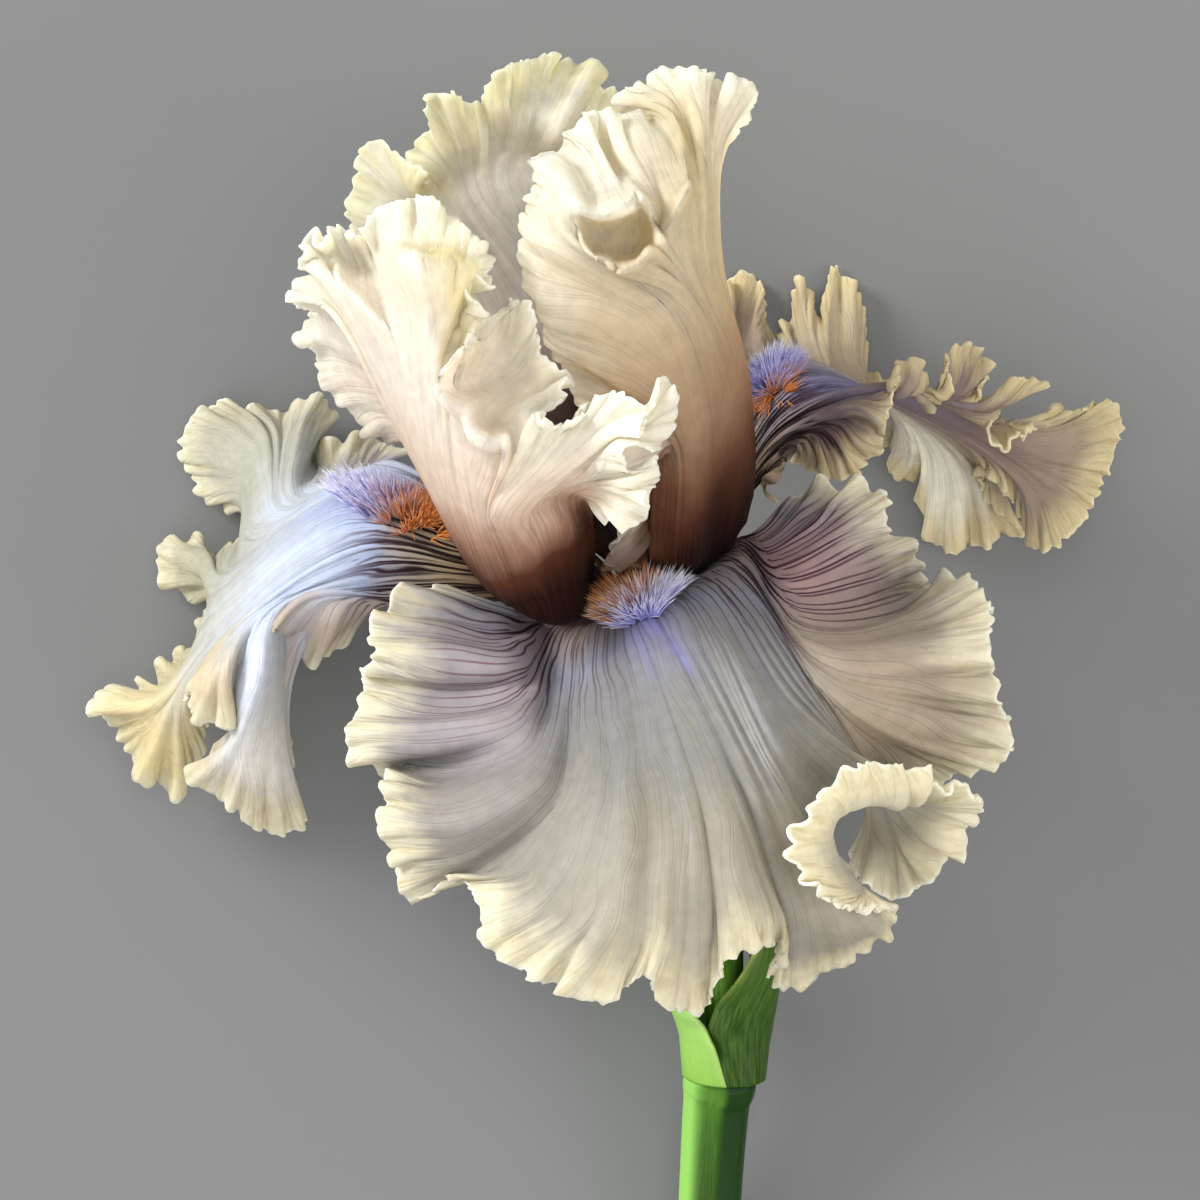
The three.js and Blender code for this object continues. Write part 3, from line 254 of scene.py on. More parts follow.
FALL_RIGHT = Net(
    azimuth=124,
    sweep=1,
    claw=FALL_CLAW,
    rows=(
        ((748, 494, -10), (742, 458, -12), (732, 430, -17)),
        ((775, 462, -9), (785, 430, -5), (796, 405, -4), (800, 386, -6), (792, 366, -12), (778, 356, -19),
         (762, 354, -24)),
    ),
    rays=(
        ((770, 474, -10), (764, 490, -9), (770, 502, -13)),
        ((785, 460, -8), (782, 466, -8), (778, 474, -13)),
        ((798, 448, -5), (796, 450, -8), (790, 454, -11)),
        ((806, 440, -3), (812, 452, -2), (808, 464, -4)),
        ((814, 436, -2), (825, 455, 0), (828, 478, -2)),
        ((822, 430, -2), (840, 452, 1), (848, 480, -1)),
        ((832, 424, -2), (852, 448, 0), (868, 464, -2)),
        ((840, 418, -2), (862, 436, -1), (882, 446, -4)),
        ((848, 412, -1), (872, 424, 0), (880, 432, -3)),
        ((854, 407, 0), (878, 412, 1), (884, 420, 0)),
        ((859, 402, 0), (884, 398, 2), (893, 386, 2)),
        ((863, 398, -1), (892, 388, 2), (893, 370, 0)),
        ((867, 395, -1), (902, 388, 1), (906, 362, -2)),
        ((870, 392, -2), (914, 392, -1), (922, 376, -4)),
        ((874, 390, -2), (926, 398, -2), (933, 409, -6)),
        ((878, 388, -3), (934, 394, -3), (946, 370, -4)),
        ((881, 387, -3), (942, 392, -4), (952, 348, -6)),
        ((884, 386, -4), (952, 392, -5), (970, 345, -8)),
        ((886, 386, -4), (962, 396, -6), (987, 362, -10)),
        ((888, 386, -5), (968, 402, -8), (980, 385, -8)),
        ((890, 386, -6), (974, 408, -9), (982, 408, -9)),
        ((892, 386, -7), (985, 408, -8), (1012, 382, -12)),
        ((893, 387, -8), (992, 408, -10), (1046, 382, -16)),
        ((894, 388, -9), (990, 416, -12), (1006, 402, -14)),
        ((895, 389, -10), (990, 426, -14), (994, 438, -12)),
        ((896, 390, -11), (1002, 430, -17), (1014, 443, -14)),
        ((897, 391, -8), (1022, 428, -20), (1040, 425, -22)),
        ((898, 392, -9), (1040, 428, -22), (1080, 411, -27)),
        ((899, 393, -10), (1050, 434, -24), (1116, 404, -30)),
        ((900, 394, -11), (1052, 446, -25), (1122, 430, -30)),
        ((900, 396, -12), (1050, 460, -26), (1110, 462, -30)),
        ((900, 398, -13), (1044, 472, -27), (1098, 495, -30)),
        ((900, 400, -14), (1036, 480, -28), (1075, 530, -30)),
        ((900, 402, -15), (1026, 486, -28), (1042, 552, -30)),
        ((900, 404, -16), (1014, 480, -27), (1028, 538, -32)),
        ((900, 405, -17), (1004, 470, -27), (1012, 505, -30)),
        ((899, 406, -18), (992, 460, -28), (990, 476, -29)),
        ((899, 407, -19), (982, 464, -31), (988, 500, -36)),
        ((898, 408, -20), (978, 468, -33), (1022, 532, -41)),
        ((898, 408, -21), (974, 472, -33), (1003, 538, -41)),
        ((897, 409, -22), (962, 470, -34), (980, 545, -41)),
        ((896, 410, -23), (947, 468, -34), (953, 549, -41)),
        ((895, 410, -24), (932, 464, -35), (926, 540, -41)),
        ((893, 410, -25), (918, 458, -35), (918, 486, -41)),
        ((890, 410, -26), (904, 450, -35), (888, 472, -41)),
        ((887, 408, -26), (894, 436, -35), (900, 454, -39)),
        ((884, 404, -26), (885, 418, -34), (879, 440, -38)),
        ((880, 398, -26), (888, 396, -33), (892, 381, -37)),
        ((872, 392, -26), (870, 385, -34), (870, 372, -40)),
        ((862, 386, -26), (857, 360, -36), (860, 300, -42)),
        ((850, 380, -26), (846, 350, -36), (849, 286, -42)),
        ((838, 376, -26), (832, 340, -36), (836, 262, -42)),
        ((826, 374, -26), (818, 342, -36), (814, 322, -40)),
        ((815, 372, -26), (806, 330, -38), (800, 280, -42)),
        ((805, 370, -26), (796, 338, -38), (791, 302, -42)),
        ((795, 368, -26), (784, 345, -36), (780, 338, -40)),
        ((785, 366, -26), (770, 340, -38), (766, 318, -42)),
        ((775, 366, -26), (756, 345, -36), (745, 345, -40)),
        ((765, 368, -25), (745, 335, -36), (764, 280, -42)),
        ((755, 370, -24), (735, 335, -36), (735, 270, -42)),
        ((745, 376, -22), (726, 352, -32), (715, 330, -38)),
    ),
)
STANDARD_LEFT = Net(
    azimuth=-60,
    sweep=1,
    claw=STANDARD_CLAW,
    rows=(
        ((510, 545, 4), (480, 560, 15), (482, 580, 24), (498, 598, 28), (521, 612, 30), (550, 623, 28),
         (580, 615, 22), (594, 592, 13)),
        ((478, 510, 6), (440, 505, 18), (444, 516, 30), (462, 530, 36), (488, 544, 39), (516, 540, 39),
         (560, 520, 35), (594, 550, 21)),
        ((436, 480, 10), (413, 460, 20), (422, 458, 33), (446, 476, 41), (474, 498, 45), (506, 516, 46),
         (552, 500, 36), (590, 508, 24)),
    ),
    rays=(
        ((418, 456, 10), (410, 446, 3), (404, 438, -4)),
        ((411, 440, 18), (407, 441, 8), (397, 438, 0), (390, 441, -5)),
        ((403, 424, 20), (400, 427, 9), (384, 424, 1), (374, 437, -5)),
        ((397, 410, 21), (393, 413, 9), (370, 412, 0), (358, 421, -6)),
        ((389, 397, 22), (385, 400, 9), (356, 396, 1), (341, 404, -5)),
        ((381, 385, 23), (377, 388, 9), (344, 384, 0), (327, 390, -6)),
        ((372, 371, 24), (368, 375, 10), (335, 366, 2), (316, 368, -4)),
        ((362, 356, 25), (358, 360, 11), (328, 350, 2), (309, 352, -6)),
        ((352, 342, 26), (348, 346, 12), (322, 334, 4), (306, 340, -3)),
        ((344, 329, 27), (340, 333, 14), (320, 321, 7), (307, 325, -2)),
        ((338, 318, 28), (333, 320, 18), (318, 310, 11), (311, 309, 5)),
        ((344, 328, 30), (318, 302, 27), (288, 296, 22)),
        ((350, 336, 28), (315, 290, 28), (294, 283, 27)),
        ((356, 334, 31), (325, 278, 33), (303, 266, 27)),
        ((362, 332, 34), (330, 275, 34), (318, 262, 28), (300, 252, 30)),
        ((368, 330, 36), (338, 281, 36), (328, 260, 26), (306, 243, 28)),
        ((374, 330, 38), (346, 288, 37), (337, 258, 25), (320, 240, 31)),
        ((380, 330, 39), (355, 297, 38), (346, 258, 24), (330, 227, 28)),
        ((386, 331, 40), (366, 306, 38), (356, 262, 24), (346, 229, 26)),
        ((391, 333, 41), (377, 315, 38), (366, 264, 25), (354, 234, 30)),
        ((397, 336, 42), (388, 320, 38), (376, 266, 28), (362, 238, 27)),
        ((404, 340, 43), (399, 323, 41), (386, 282, 38), (379, 252, 30), (368, 220, 33)),
        ((411, 341, 45), (410, 318, 45), (398, 284, 47), (389, 264, 44), (385, 240, 34), (380, 206, 34)),
        ((418, 341, 47), (419, 316, 48), (410, 284, 52), (403, 257, 54), (402, 238, 39), (400, 203, 38)),
        ((425, 342, 48), (427, 314, 50), (421, 285, 54), (416, 260, 56), (418, 240, 40), (413, 197, 36)),
        ((431, 344, 49), (435, 314, 50), (432, 290, 54), (430, 264, 56), (434, 240, 42), (438, 200, 41)),
        ((436, 348, 49), (443, 316, 49), (443, 296, 52), (446, 268, 54), (452, 244, 43), (456, 217, 39)),
        ((440, 352, 48), (451, 320, 46), (452, 302, 48), (460, 274, 52), (466, 254, 44), (471, 232, 42)),
        ((444, 356, 47), (459, 326, 43), (463, 306, 45), (472, 278, 50), (479, 262, 45), (491, 257, 41)),
        ((448, 360, 47), (465, 332, 42), (470, 314, 41), (476, 298, 45), (480, 288, 48)),
        ((452, 364, 48), (466, 342, 47), (474, 330, 49), (482, 326, 44), (488, 317, 43)),
        ((453, 372, 50), (464, 347, 55), (470, 336, 58), (480, 338, 48), (492, 335, 43), (501, 306, 42)),
        ((450, 382, 51), (455, 360, 56), (458, 350, 59), (470, 358, 48), (490, 348, 42), (504, 330, 40),
         (512, 304, 44)),
        ((448, 394, 51), (441, 378, 57), (438, 374, 59), (455, 376, 49), (482, 366, 41), (506, 344, 40),
         (522, 302, 42)),
        ((450, 406, 51), (436, 396, 56), (435, 388, 59), (454, 388, 49), (484, 378, 40), (510, 356, 40),
         (531, 303, 44)),
        ((458, 416, 51), (447, 410, 57), (446, 402, 59), (462, 396, 50), (490, 386, 40), (516, 366, 40),
         (536, 330, 42)),
        ((468, 428, 51), (462, 418, 57), (464, 410, 58), (474, 404, 49), (498, 392, 41), (524, 376, 41),
         (540, 352, 44)),
        ((478, 444, 50), (468, 436, 57), (470, 428, 58), (482, 420, 46), (504, 402, 43), (532, 386, 43),
         (556, 364, 46)),
        ((490, 454, 50), (484, 448, 57), (488, 440, 58), (494, 428, 47), (512, 408, 48), (540, 394, 45),
         (572, 380, 45)),
        ((504, 457, 50), (502, 450, 56), (506, 440, 57), (510, 428, 50), (524, 411, 52), (545, 402, 47),
         (566, 392, 49)),
        ((516, 455, 50), (520, 440, 53), (526, 426, 54), (536, 413, 54), (550, 410, 50)),
        ((528, 452, 50), (536, 434, 52), (544, 421, 55)),
        ((540, 450, 50), (552, 430, 52), (560, 425, 52)),
        ((550, 448, 50), (564, 428, 51), (575, 416, 53)),
        ((558, 448, 50), (576, 420, 51), (587, 402, 50)),
        ((566, 448, 50), (590, 418, 51), (603, 395, 53)),
        ((572, 450, 50), (600, 420, 52), (622, 393, 55)),
        ((578, 454, 50), (608, 426, 53), (641, 411, 57)),
        ((583, 458, 50), (612, 434, 54), (638, 434, 58)),
        ((586, 460, 49), (618, 432, 52), (650, 412, 49), (664, 376, 46)),
        ((589, 462, 49), (622, 438, 52), (652, 420, 49), (677, 392, 47)),
        ((592, 464, 49), (624, 442, 52), (652, 432, 51), (672, 430, 49)),
        ((594, 466, 49), (622, 446, 53), (640, 442, 54), (656, 451, 53)),
        ((596, 469, 49), (614, 452, 53), (628, 453, 55)),
        ((598, 473, 48), (614, 462, 52), (627, 464, 52)),
        ((600, 477, 48), (618, 472, 51), (640, 469, 50)),
        ((602, 481, 48), (624, 478, 51), (657, 458, 53)),
        ((603, 485, 47), (626, 485, 52), (655, 482, 49)),
        ((603, 490, 47), (626, 495, 50), (646, 501, 52)),
        ((602, 496, 46), (622, 507, 50), (647, 518, 48)),
        ((600, 502, 45), (614, 515, 49), (630, 528, 49)),
        ((597, 506, 44), (605, 515, 46), (613, 524, 45)),
        ((593, 507, 41), (597, 511, 42), (601, 514, 42)),
        ((590, 506, 37), (590, 508, 37), (591, 507, 37)),
    ),
)
STANDARD_RIGHT = Net(
    azimuth=60,
    sweep=1,
    claw=STANDARD_CLAW,
    rows=(
        ((650, 556, 25), (676, 566, 26), (695, 560, 24), (708, 561, 12), (729, 549, 10), (744, 524, 7),
         (747, 495, 4), (746, 478, -1)),
        ((655, 455, 33), (690, 425, 35), (730, 400, 24), (750, 392, 10), (746, 390, 1)),
    ),
    rays=(
        ((650, 530, 27), (640, 556, 31), (624, 571, 32)),
        ((646, 520, 28), (628, 546, 33), (605, 564, 33)),
        ((648, 505, 30), (634, 525, 33), (612, 546, 33)),
        ((650, 480, 32), (640, 495, 35), (622, 520, 35)),
        ((652, 452, 34), (632, 460, 36), (606, 470, 36)),
        ((652, 425, 35), (610, 410, 37), (575, 400, 37)),
        ((653, 400, 37), (600, 370, 39), (550, 345, 37)),
        ((656, 370, 38), (600, 330, 40), (541, 318, 38), (540, 300, 37)),
        ((660, 345, 39), (600, 300, 41), (545, 290, 40), (527, 282, 37)),
        ((664, 330, 39), (602, 290, 42), (545, 266, 41), (518, 250, 36)),
        ((667, 318, 40), (606, 275, 44), (560, 250, 45), (532, 238, 42), (520, 228, 38)),
        ((669, 312, 40), (608, 268, 46), (575, 242, 48), (556, 225, 46), (540, 212, 42), (527, 206, 36)),
        ((671, 306, 40), (610, 268, 48), (588, 252, 53), (580, 238, 46), (566, 215, 50), (550, 196, 45),
         (531, 186, 39)),
        ((673, 302, 40), (614, 270, 48), (598, 261, 55), (592, 244, 42), (582, 222, 45), (576, 208, 53),
         (565, 180, 44), (536, 166, 37)),
        ((675, 298, 40), (620, 274, 48), (610, 266, 56), (606, 246, 40), (598, 226, 43), (596, 215, 53),
         (588, 190, 42), (570, 160, 38), (550, 150, 38)),
        ((678, 294, 40), (628, 276, 48), (622, 270, 56), (622, 250, 38), (618, 228, 41), (616, 211, 54),
         (606, 188, 42), (586, 150, 36), (566, 138, 34)),
        ((681, 290, 40), (638, 272, 48), (636, 265, 56), (636, 248, 38), (634, 225, 40), (632, 204, 54),
         (618, 185, 42), (598, 150, 38), (582, 118, 36)),
        ((684, 285, 40), (648, 262, 48), (648, 252, 56), (648, 238, 41), (646, 220, 43), (643, 200, 54),
         (628, 178, 40), (606, 160, 33), (594, 112, 31)),
        ((687, 280, 40), (660, 250, 48), (662, 240, 55), (658, 228, 46), (654, 210, 50), (646, 185, 42),
         (622, 150, 38), (606, 112, 35)),
        ((690, 276, 40), (668, 240, 47), (669, 232, 50), (664, 212, 46), (654, 178, 40), (636, 142, 36),
         (622, 119, 30)),
        ((693, 272, 40), (678, 230, 46), (681, 208, 50), (687, 190, 53), (680, 178, 41), (662, 144, 36),
         (636, 122, 29)),
        ((697, 268, 38), (690, 216, 42), (692, 198, 45), (688, 174, 40), (678, 136, 36), (656, 112, 31),
         (630, 110, 25)),
        ((700, 264, 37), (697, 205, 39), (688, 150, 36), (672, 112, 34), (640, 102, 29), (616, 100, 25)),
        ((703, 260, 36), (700, 200, 37), (688, 135, 34), (666, 98, 32), (627, 86, 28)),
        ((706, 256, 35), (703, 190, 36), (694, 130, 34), (676, 94, 31), (650, 74, 26)),
        ((709, 252, 34), (706, 185, 34), (698, 125, 35), (688, 95, 33), (675, 71, 29)),
        ((712, 250, 33), (709, 185, 33), (704, 125, 34), (701, 100, 34), (698, 68, 32)),
        ((714, 250, 31), (712, 185, 30), (710, 125, 32), (711, 100, 31), (712, 77, 26)),
        ((716, 250, 29), (714, 185, 28), (716, 130, 31), (724, 105, 32), (733, 78, 30)),
        ((718, 252, 26), (716, 190, 25), (720, 140, 28), (734, 112, 28), (747, 84, 22)),
        ((720, 255, 22), (718, 195, 21), (722, 150, 22), (736, 122, 22), (753, 104, 18)),
        ((721, 260, 17), (718, 205, 15), (720, 165, 14), (728, 140, 12), (740, 125, 6)),
        ((722, 270, 11), (716, 220, 8), (714, 180, 4), (716, 155, 0), (722, 140, -4)),
        ((720, 290, 5), (710, 240, 0), (704, 200, -4), (702, 180, -8)),
        ((716, 320, 0), (704, 270, -6), (695, 235, -10), (690, 215, -12)),
    ),
)
STANDARD_BACK = Net(
    azimuth=180,
    sweep=-1,
    claw=STANDARD_CLAW,
    rows=(
        ((545, 470, -8), (600, 450, -18), (670, 455, -10)),
        ((470, 335, 0), (520, 320, -8), (590, 310, -13), (650, 320, -12), (700, 340, -8)),
    ),
    rays=(
        ((440, 300, 6), (400, 255, 8), (352, 232, 4)),
        ((440, 280, 4), (395, 220, 8), (347, 203, 6)),
        ((442, 262, 3), (395, 200, 8), (353, 178, 6)),
        ((446, 250, 2), (400, 190, 9), (362, 150, 8)),
        ((450, 240, 1), (405, 188, 11), (375, 140, 10)),
        ((455, 232, 0), (410, 190, 13), (400, 158, 14)),
        ((458, 225, 0), (418, 190, 14), (428, 172, 17)),
        ((461, 218, -1), (424, 180, 10), (416, 186, 14)),
        ((464, 210, -1), (432, 165, 6), (408, 158, 4)),
        ((468, 205, -2), (445, 150, 6), (430, 122, 6)),
        ((474, 200, -2), (455, 140, 9), (428, 100, 14)),
        ((480, 198, -3), (466, 135, 10), (452, 92, 12)),
        ((486, 196, -4), (478, 135, 6), (474, 104, 6)),
        ((492, 195, -5), (488, 130, 4), (484, 98, 4)),
        ((500, 195, -6), (500, 125, 6), (496, 76, 8)),
        ((508, 195, -7), (512, 122, 8), (510, 66, 12)),
        ((517, 195, -8), (524, 120, 8), (530, 60, 6)),
        ((526, 196, -9), (538, 120, 8), (552, 55, 2)),
        ((535, 197, -10), (550, 120, 9), (575, 62, 0)),
        ((545, 198, -11), (560, 125, 10), (592, 57, 0)),
        ((556, 200, -12), (572, 125, 8), (600, 70, 0)),
        ((568, 202, -13), (585, 125, 2), (600, 88, -4)),
        ((582, 205, -14), (600, 130, -2), (612, 90, -8)),
        ((598, 208, -14), (618, 135, -4), (625, 102, -8)),
        ((615, 212, -15), (640, 140, -6), (650, 100, -9)),
        ((630, 218, -15), (660, 150, -8), (672, 110, -10)),
        ((645, 226, -15), (675, 165, -10), (690, 130, -12)),
        ((660, 240, -15), (686, 190, -12), (698, 160, -16)),
    ),
)

# The stalk, from the cut end of the stem up to the heart: (x, y, height, radius).
STEM = (
    (705, 1335, -38, 4.6), (707, 1280, -37.3, 4.55), (709, 1220, -36, 4.55), (713, 1150, -33.5, 4.7),
    (717, 1100, -31.5, 4.9), (719, 1090, -31, 5.3), (720, 1080, -30.5, 5.4), (721, 1073, -30.2, 4.9),
)
OVARY = (
    (721, 1069, -30, 2.6), (724, 1010, -28, 2.7), (720, 955, -25.5, 3.4), (714, 915, -23, 4.9),
    (703, 865, -19.5, 5.2), (690, 815, -15.5, 4.7), (679, 770, -12, 3.5), (668, 722, -8.5, 3.3),
    (655, 660, -4.2, 3.7), (645, 600, 0, 5.4),
)
# Spathe valves: (mm above the node, radius, from, to), in degrees about the stalk from its upper side.
SPATHE_OUTER = (
    (-0.9, 5.3, -168, 8), (5, 6.1, -168, -12), (10, 7.6, -162, -32), (16, 8.5, -152, -52),
    (23, 8.3, -138, -72), (29, 7.4, -120, -88), (33, 6.7, -108, -98),
)
SPATHE_INNER = (
    (-0.9, 5.2, -20, 165), (4, 5.4, -30, 162), (8, 5.9, -34, 158), (12, 6.8, -22, 154), (16, 7.3, 4, 150),
    (20, 7.5, 28, 142), (26, 7.2, 52, 128), (32, 6.4, 72, 116), (36, 5.8, 86, 104),
)
# Style arms: (radius, height, half width, drop of the edges); filaments and anthers: (radius, height).
STYLE_ROWS = (
    (2.1, 0.4, 0.75, 0.1), (2.6, 4.6, 1.2, 0.3), (5, 9, 2, 0.7), (9.5, 12.2, 2.6, 1),
    (14.5, 13.6, 3, 1), (18, 14.2, 3, 0.7), (20.5, 15, 2.4, 0.1),
)
FILAMENT = ((3.75, 0.4), (4.4, 3.4), (6.8, 6.8), (10, 8.7))
ANTHER = ((10.9, 9.1), (13.4, 10.2), (16.2, 10.4))


def turned(vector: Point) -> np.ndarray:
    """A direction turned with the flower's lean to the left.

    Args:
        vector: the direction before it leans.

    Returns:
        the direction after.
    """
    x, y, z = vector
    c, s = math.cos(LEAN), math.sin(LEAN)
    return np.array([c * x - s * y, s * x + c * y, z])


RIGHT = turned((1, 0, 0))
UP = turned((0, math.cos(RISE), math.sin(RISE)))
FRONT = turned((0, -math.sin(RISE), math.cos(RISE)))


def sight(points: np.ndarray) -> np.ndarray:
    """Traced points put in space.

    Args:
        points: (..., 3) pixels and height above the heart.

    Returns:
        (..., 3) mm from the middle of the picture at the heart's height.
    """
    points = np.asarray(points, float)
    scale = MM_PER_PIXEL * (1 - points[..., 2] / EYE_HEIGHT)
    x = (points[..., 0] - PICTURE / 2) * scale
    y = (PICTURE / 2 - points[..., 1]) * scale
    return np.stack([x, y, points[..., 2]], axis=-1)


HEART = sight(HEART_PX)


def on_flower(azimuth: float, radius: float, height: float) -> np.ndarray:
    """A place about the flower's axis.

    Args:
        azimuth: degrees from the front, positive to the right.
        radius: mm from the axis.
        height: mm up the axis from the heart.

    Returns:
        the point.
    """
    turn = math.radians(azimuth)
    return HEART + radius * (math.sin(turn) * RIGHT + math.cos(turn) * FRONT) + height * UP


def spline(points: np.ndarray, shares: np.ndarray) -> np.ndarray:
    """Centripetal Catmull-Rom curves through points.

    Args:
        points: (n, ..., 3) the points of one curve, or of many side by side.
        shares: (k,) where to evaluate them, as shares of the point count.

    Returns:
        (k, ..., 3) points on the curves.
    """
    points = np.asarray(points, float)
    count = len(points)
    padded = np.concatenate([[2 * points[0] - points[1]], points, [2 * points[-1] - points[-2]]])
    at = np.clip(np.asarray(shares, float), 0, 1) * (count - 1)
    index = np.minimum(at.astype(int), count - 2)
    weight = (at - index).reshape((-1,) + (1,) * (points.ndim - 1))
    p0, p1, p2, p3 = (padded[index + k] for k in range(4))
    step = [np.linalg.norm(b - a, axis=-1, keepdims=True) ** 0.5 for a, b in ((p0, p1), (p1, p2), (p2, p3))]
    d1 = np.where(step[1] < 1e-4, 1, step[1])
    d0 = np.where(step[0] < 1e-4, d1, step[0])
    d2 = np.where(step[2] < 1e-4, d1, step[2])
    t1 = ((p1 - p0) / d0 - (p2 - p0) / (d0 + d1) + (p2 - p1) / d1) * d1
    t2 = ((p2 - p1) / d1 - (p3 - p1) / (d1 + d2) + (p3 - p2) / d2) * d1
    a = 2 * p1 - 2 * p2 + t1 + t2
    b = -3 * p1 + 3 * p2 - 2 * t1 - t2
    return ((a * weight + b) * weight + t1) * weight + p1


def spaced(points: np.ndarray, shares: np.ndarray) -> np.ndarray:
    """Points of one curve at shares of its length.

    Args:
        points: (n, 3) the curve's points.
        shares: (k,) shares of its length.

    Returns:
        (k, 3) points on it.
    """
    fine = np.linspace(0, 1, CURVE_STEPS)
    length = lengths(spline(points, fine))
    return spline(points, np.interp(shares, length / length[-1], fine))


def lengths(points: np.ndarray) -> np.ndarray:
    """The running length of a line of points, from 0."""
    steps = np.linalg.norm(np.diff(points, axis=0), axis=-1)
    return np.concatenate([np.zeros_like(steps[:1]), np.cumsum(steps, axis=0)])


def normals(grid: np.ndarray) -> np.ndarray:
    """Unit normals of a (n, m, 3) grid, across its lines then along them."""
    cross = np.cross(np.gradient(grid, axis=0), np.gradient(grid, axis=1))
    return cross / np.maximum(np.linalg.norm(cross, axis=-1, keepdims=True), 1e-9)


def wavy(at: np.ndarray, wavelength: float, seed: int) -> np.ndarray:
    """Smooth noise of about one wavelength, between about -1 and 1.

    Args:
        at: places along a line.
        wavelength: its usual length.
        seed: which noise.

    Returns:
        the noise at each place.
    """
    waves = 6
    random = np.random.default_rng(seed)
    total = np.zeros_like(at)
    for _ in range(waves):
        own = wavelength * random.uniform(0.65, 1.5)
        total = total + np.sin(2 * math.pi * (at / own + random.uniform()))
    return total / 2.6


class Way(Enum):
    """Which way a ruffle moves a tepal's surface."""

    SIDEWAYS = "along its normal"
    OUTWARD = "along its rays"


@dataclass(frozen=True)
class Ruffle:
    """A wave along a tepal's margin, dying out inwards. Sizes in mm."""

    wavelength: float
    height: float
    depth: float
    seed: int
    way: Way = Way.SIDEWAYS

    def lift(self, margin: np.ndarray, inward: np.ndarray) -> np.ndarray:
        """How far it moves each point.

        Args:
            margin: (n, 1) length along the margin.
            inward: (n, m) distance in from the margin.

        Returns:
            (n, m) mm.
        """
        strength = 0.65 + 0.35 * wavy(margin, 4 * self.wavelength, self.seed + 1)
        wave = wavy(margin + 0.15 * inward, self.wavelength, self.seed)
        return self.height * strength * wave * np.exp(-((inward / self.depth) ** 1.3))


@dataclass
class Sheet:
    """A tepal's surface on a grid: (across, along) points and what its finish needs at each of them."""

    points: np.ndarray
    fields: dict[str, np.ndarray]


# ---- Nodes and colours ----

REACH_SPAN = 80.0  # mm from the base that a tepal's colour ramps cover
BLOTCH = 0.08 / MM  # cells per metre: uneven patches about 12 mm wide
MOTTLE = 0.5 / MM  # 2 mm
SATIN = 6.0 / MM  # the tissue's own cells, which give petals their satin look
GRAIN = (50.0, 0.05)  # streaks: cells across the whole fan, and per mm from the base
FIBRE = (900.0, 22.0)  # fine ribs: cells across the fan, and along it
PLEAT = (0.8, 0.07)  # fluting of the margin: cells per mm along it, and inwards
BEND = (14.0, 0.06)  # slow sway of the veins: cells across the fan, and per mm from the base
WANDER = (40.0, 0.17)  # quick sway
BUMP_STRENGTH = 0.6
BUMP_DEPTH = 0.2 * MM
FIBRE_RELIEF, SATIN_RELIEF, PLEAT_RELIEF, VEIN_RELIEF = 0.6, 0.12, 7.0, -0.5  # in bump depths
UNEVEN_ACROSS, UNEVEN_ALONG, UNEVEN_MM = 0.05, 0.16, 10.0  # how far blotches push the edges of colours
PLEATED_TO = 13.0  # mm in from the margin
# A painted highlight along each tepal's cut edge: how far in it reaches, and its strength.
RIM_HIGHLIGHT_TO = 0.7  # mm in from the margin
RIM_HIGHLIGHT_STRENGTH = 0.75
CLAW_BARE = (16.0, 30.0)  # mm from the base over which a tepal's border sets in


def colour(code: str) -> tuple[float, float, float, float]:
    """Turns an sRGB hex code to a linear colour.

    Args:
        code: such as "#FCF5EE".

    Returns:
        red, green, blue, and 1 for opaque.
    """
    parts = [int(code[i : i + 2], 16) / 255 for i in (1, 3, 5)]
    linear = [c / 12.92 if c <= 0.04045 else ((c + 0.055) / 1.055) ** 2.4 for c in parts]
    return (linear[0], linear[1], linear[2], 1.0)


def by_share(stops: Stops) -> Stops:
    """Colour stops given in mm from the base, as shares of what a ramp covers."""
    return tuple((position / REACH_SPAN, code) for position, code in stops)


class Kind(Enum):
    """A kind of node: its type, its settings, the inputs that values feed in order, and the output used."""

    FIELD = ("Attribute", {}, (), "Fac")
    PLACE = ("TexCoord", {}, (), "Object")
    NOISE = ("TexNoise", {}, ("Vector", "Scale", "Detail"), "Fac")
    XYZ = ("CombineXYZ", {}, (0, 1), 0)
    GREY = ("CombineColor", {}, (0, 1, 2), 0)
    EASE = ("MapRange", {"interpolation_type": "SMOOTHSTEP"}, (0, 1, 2, 3, 4), 0)
    STOPS = ("ValToRGB", {}, (0,), "Color")
    MIX = ("Mix", {"data_type": "RGBA"}, (0, 6, 7), 2)
    TINT = ("Mix", {"data_type": "RGBA", "blend_type": "MULTIPLY"}, (0, 6, 7), 2)
    WARM = ("HueSaturation", {}, ("Color", "Saturation"), 0)
    BUMP = ("Bump", {}, ("Height", "Strength", "Distance"), 0)
    SKIN = ("BsdfPrincipled", {}, ("Base Color", "Roughness"), 0)
    THROUGH = ("BsdfTranslucent", {}, ("Color", "Normal"), 0)
    LAYERS = ("MixShader", {}, (0, 1, 2), 0)
    OUTPUT = ("OutputMaterial", {}, ("Surface",), 0)
    PLUS = ("Math", {"operation": "ADD"}, (0, 1), 0)
    MINUS = ("Math", {"operation": "SUBTRACT"}, (0, 1), 0)
    TIMES = ("Math", {"operation": "MULTIPLY"}, (0, 1), 0)
    OVER = ("Math", {"operation": "DIVIDE"}, (0, 1), 0)
    TIMES_PLUS = ("Math", {"operation": "MULTIPLY_ADD"}, (0, 1, 2), 0)
    EXPONENT = ("Math", {"operation": "EXPONENT"}, (0,), 0)
    TO_AND_FRO = ("Math", {"operation": "PINGPONG"}, (0, 1), 0)
    LARGER = ("Math", {"operation": "MAXIMUM"}, (0, 1), 0)
    SMALLER = ("Math", {"operation": "MINIMUM"}, (0, 1), 0)
    SOFT_SMALLER = ("Math", {"operation": "SMOOTH_MIN"}, (0, 1, 2), 0)


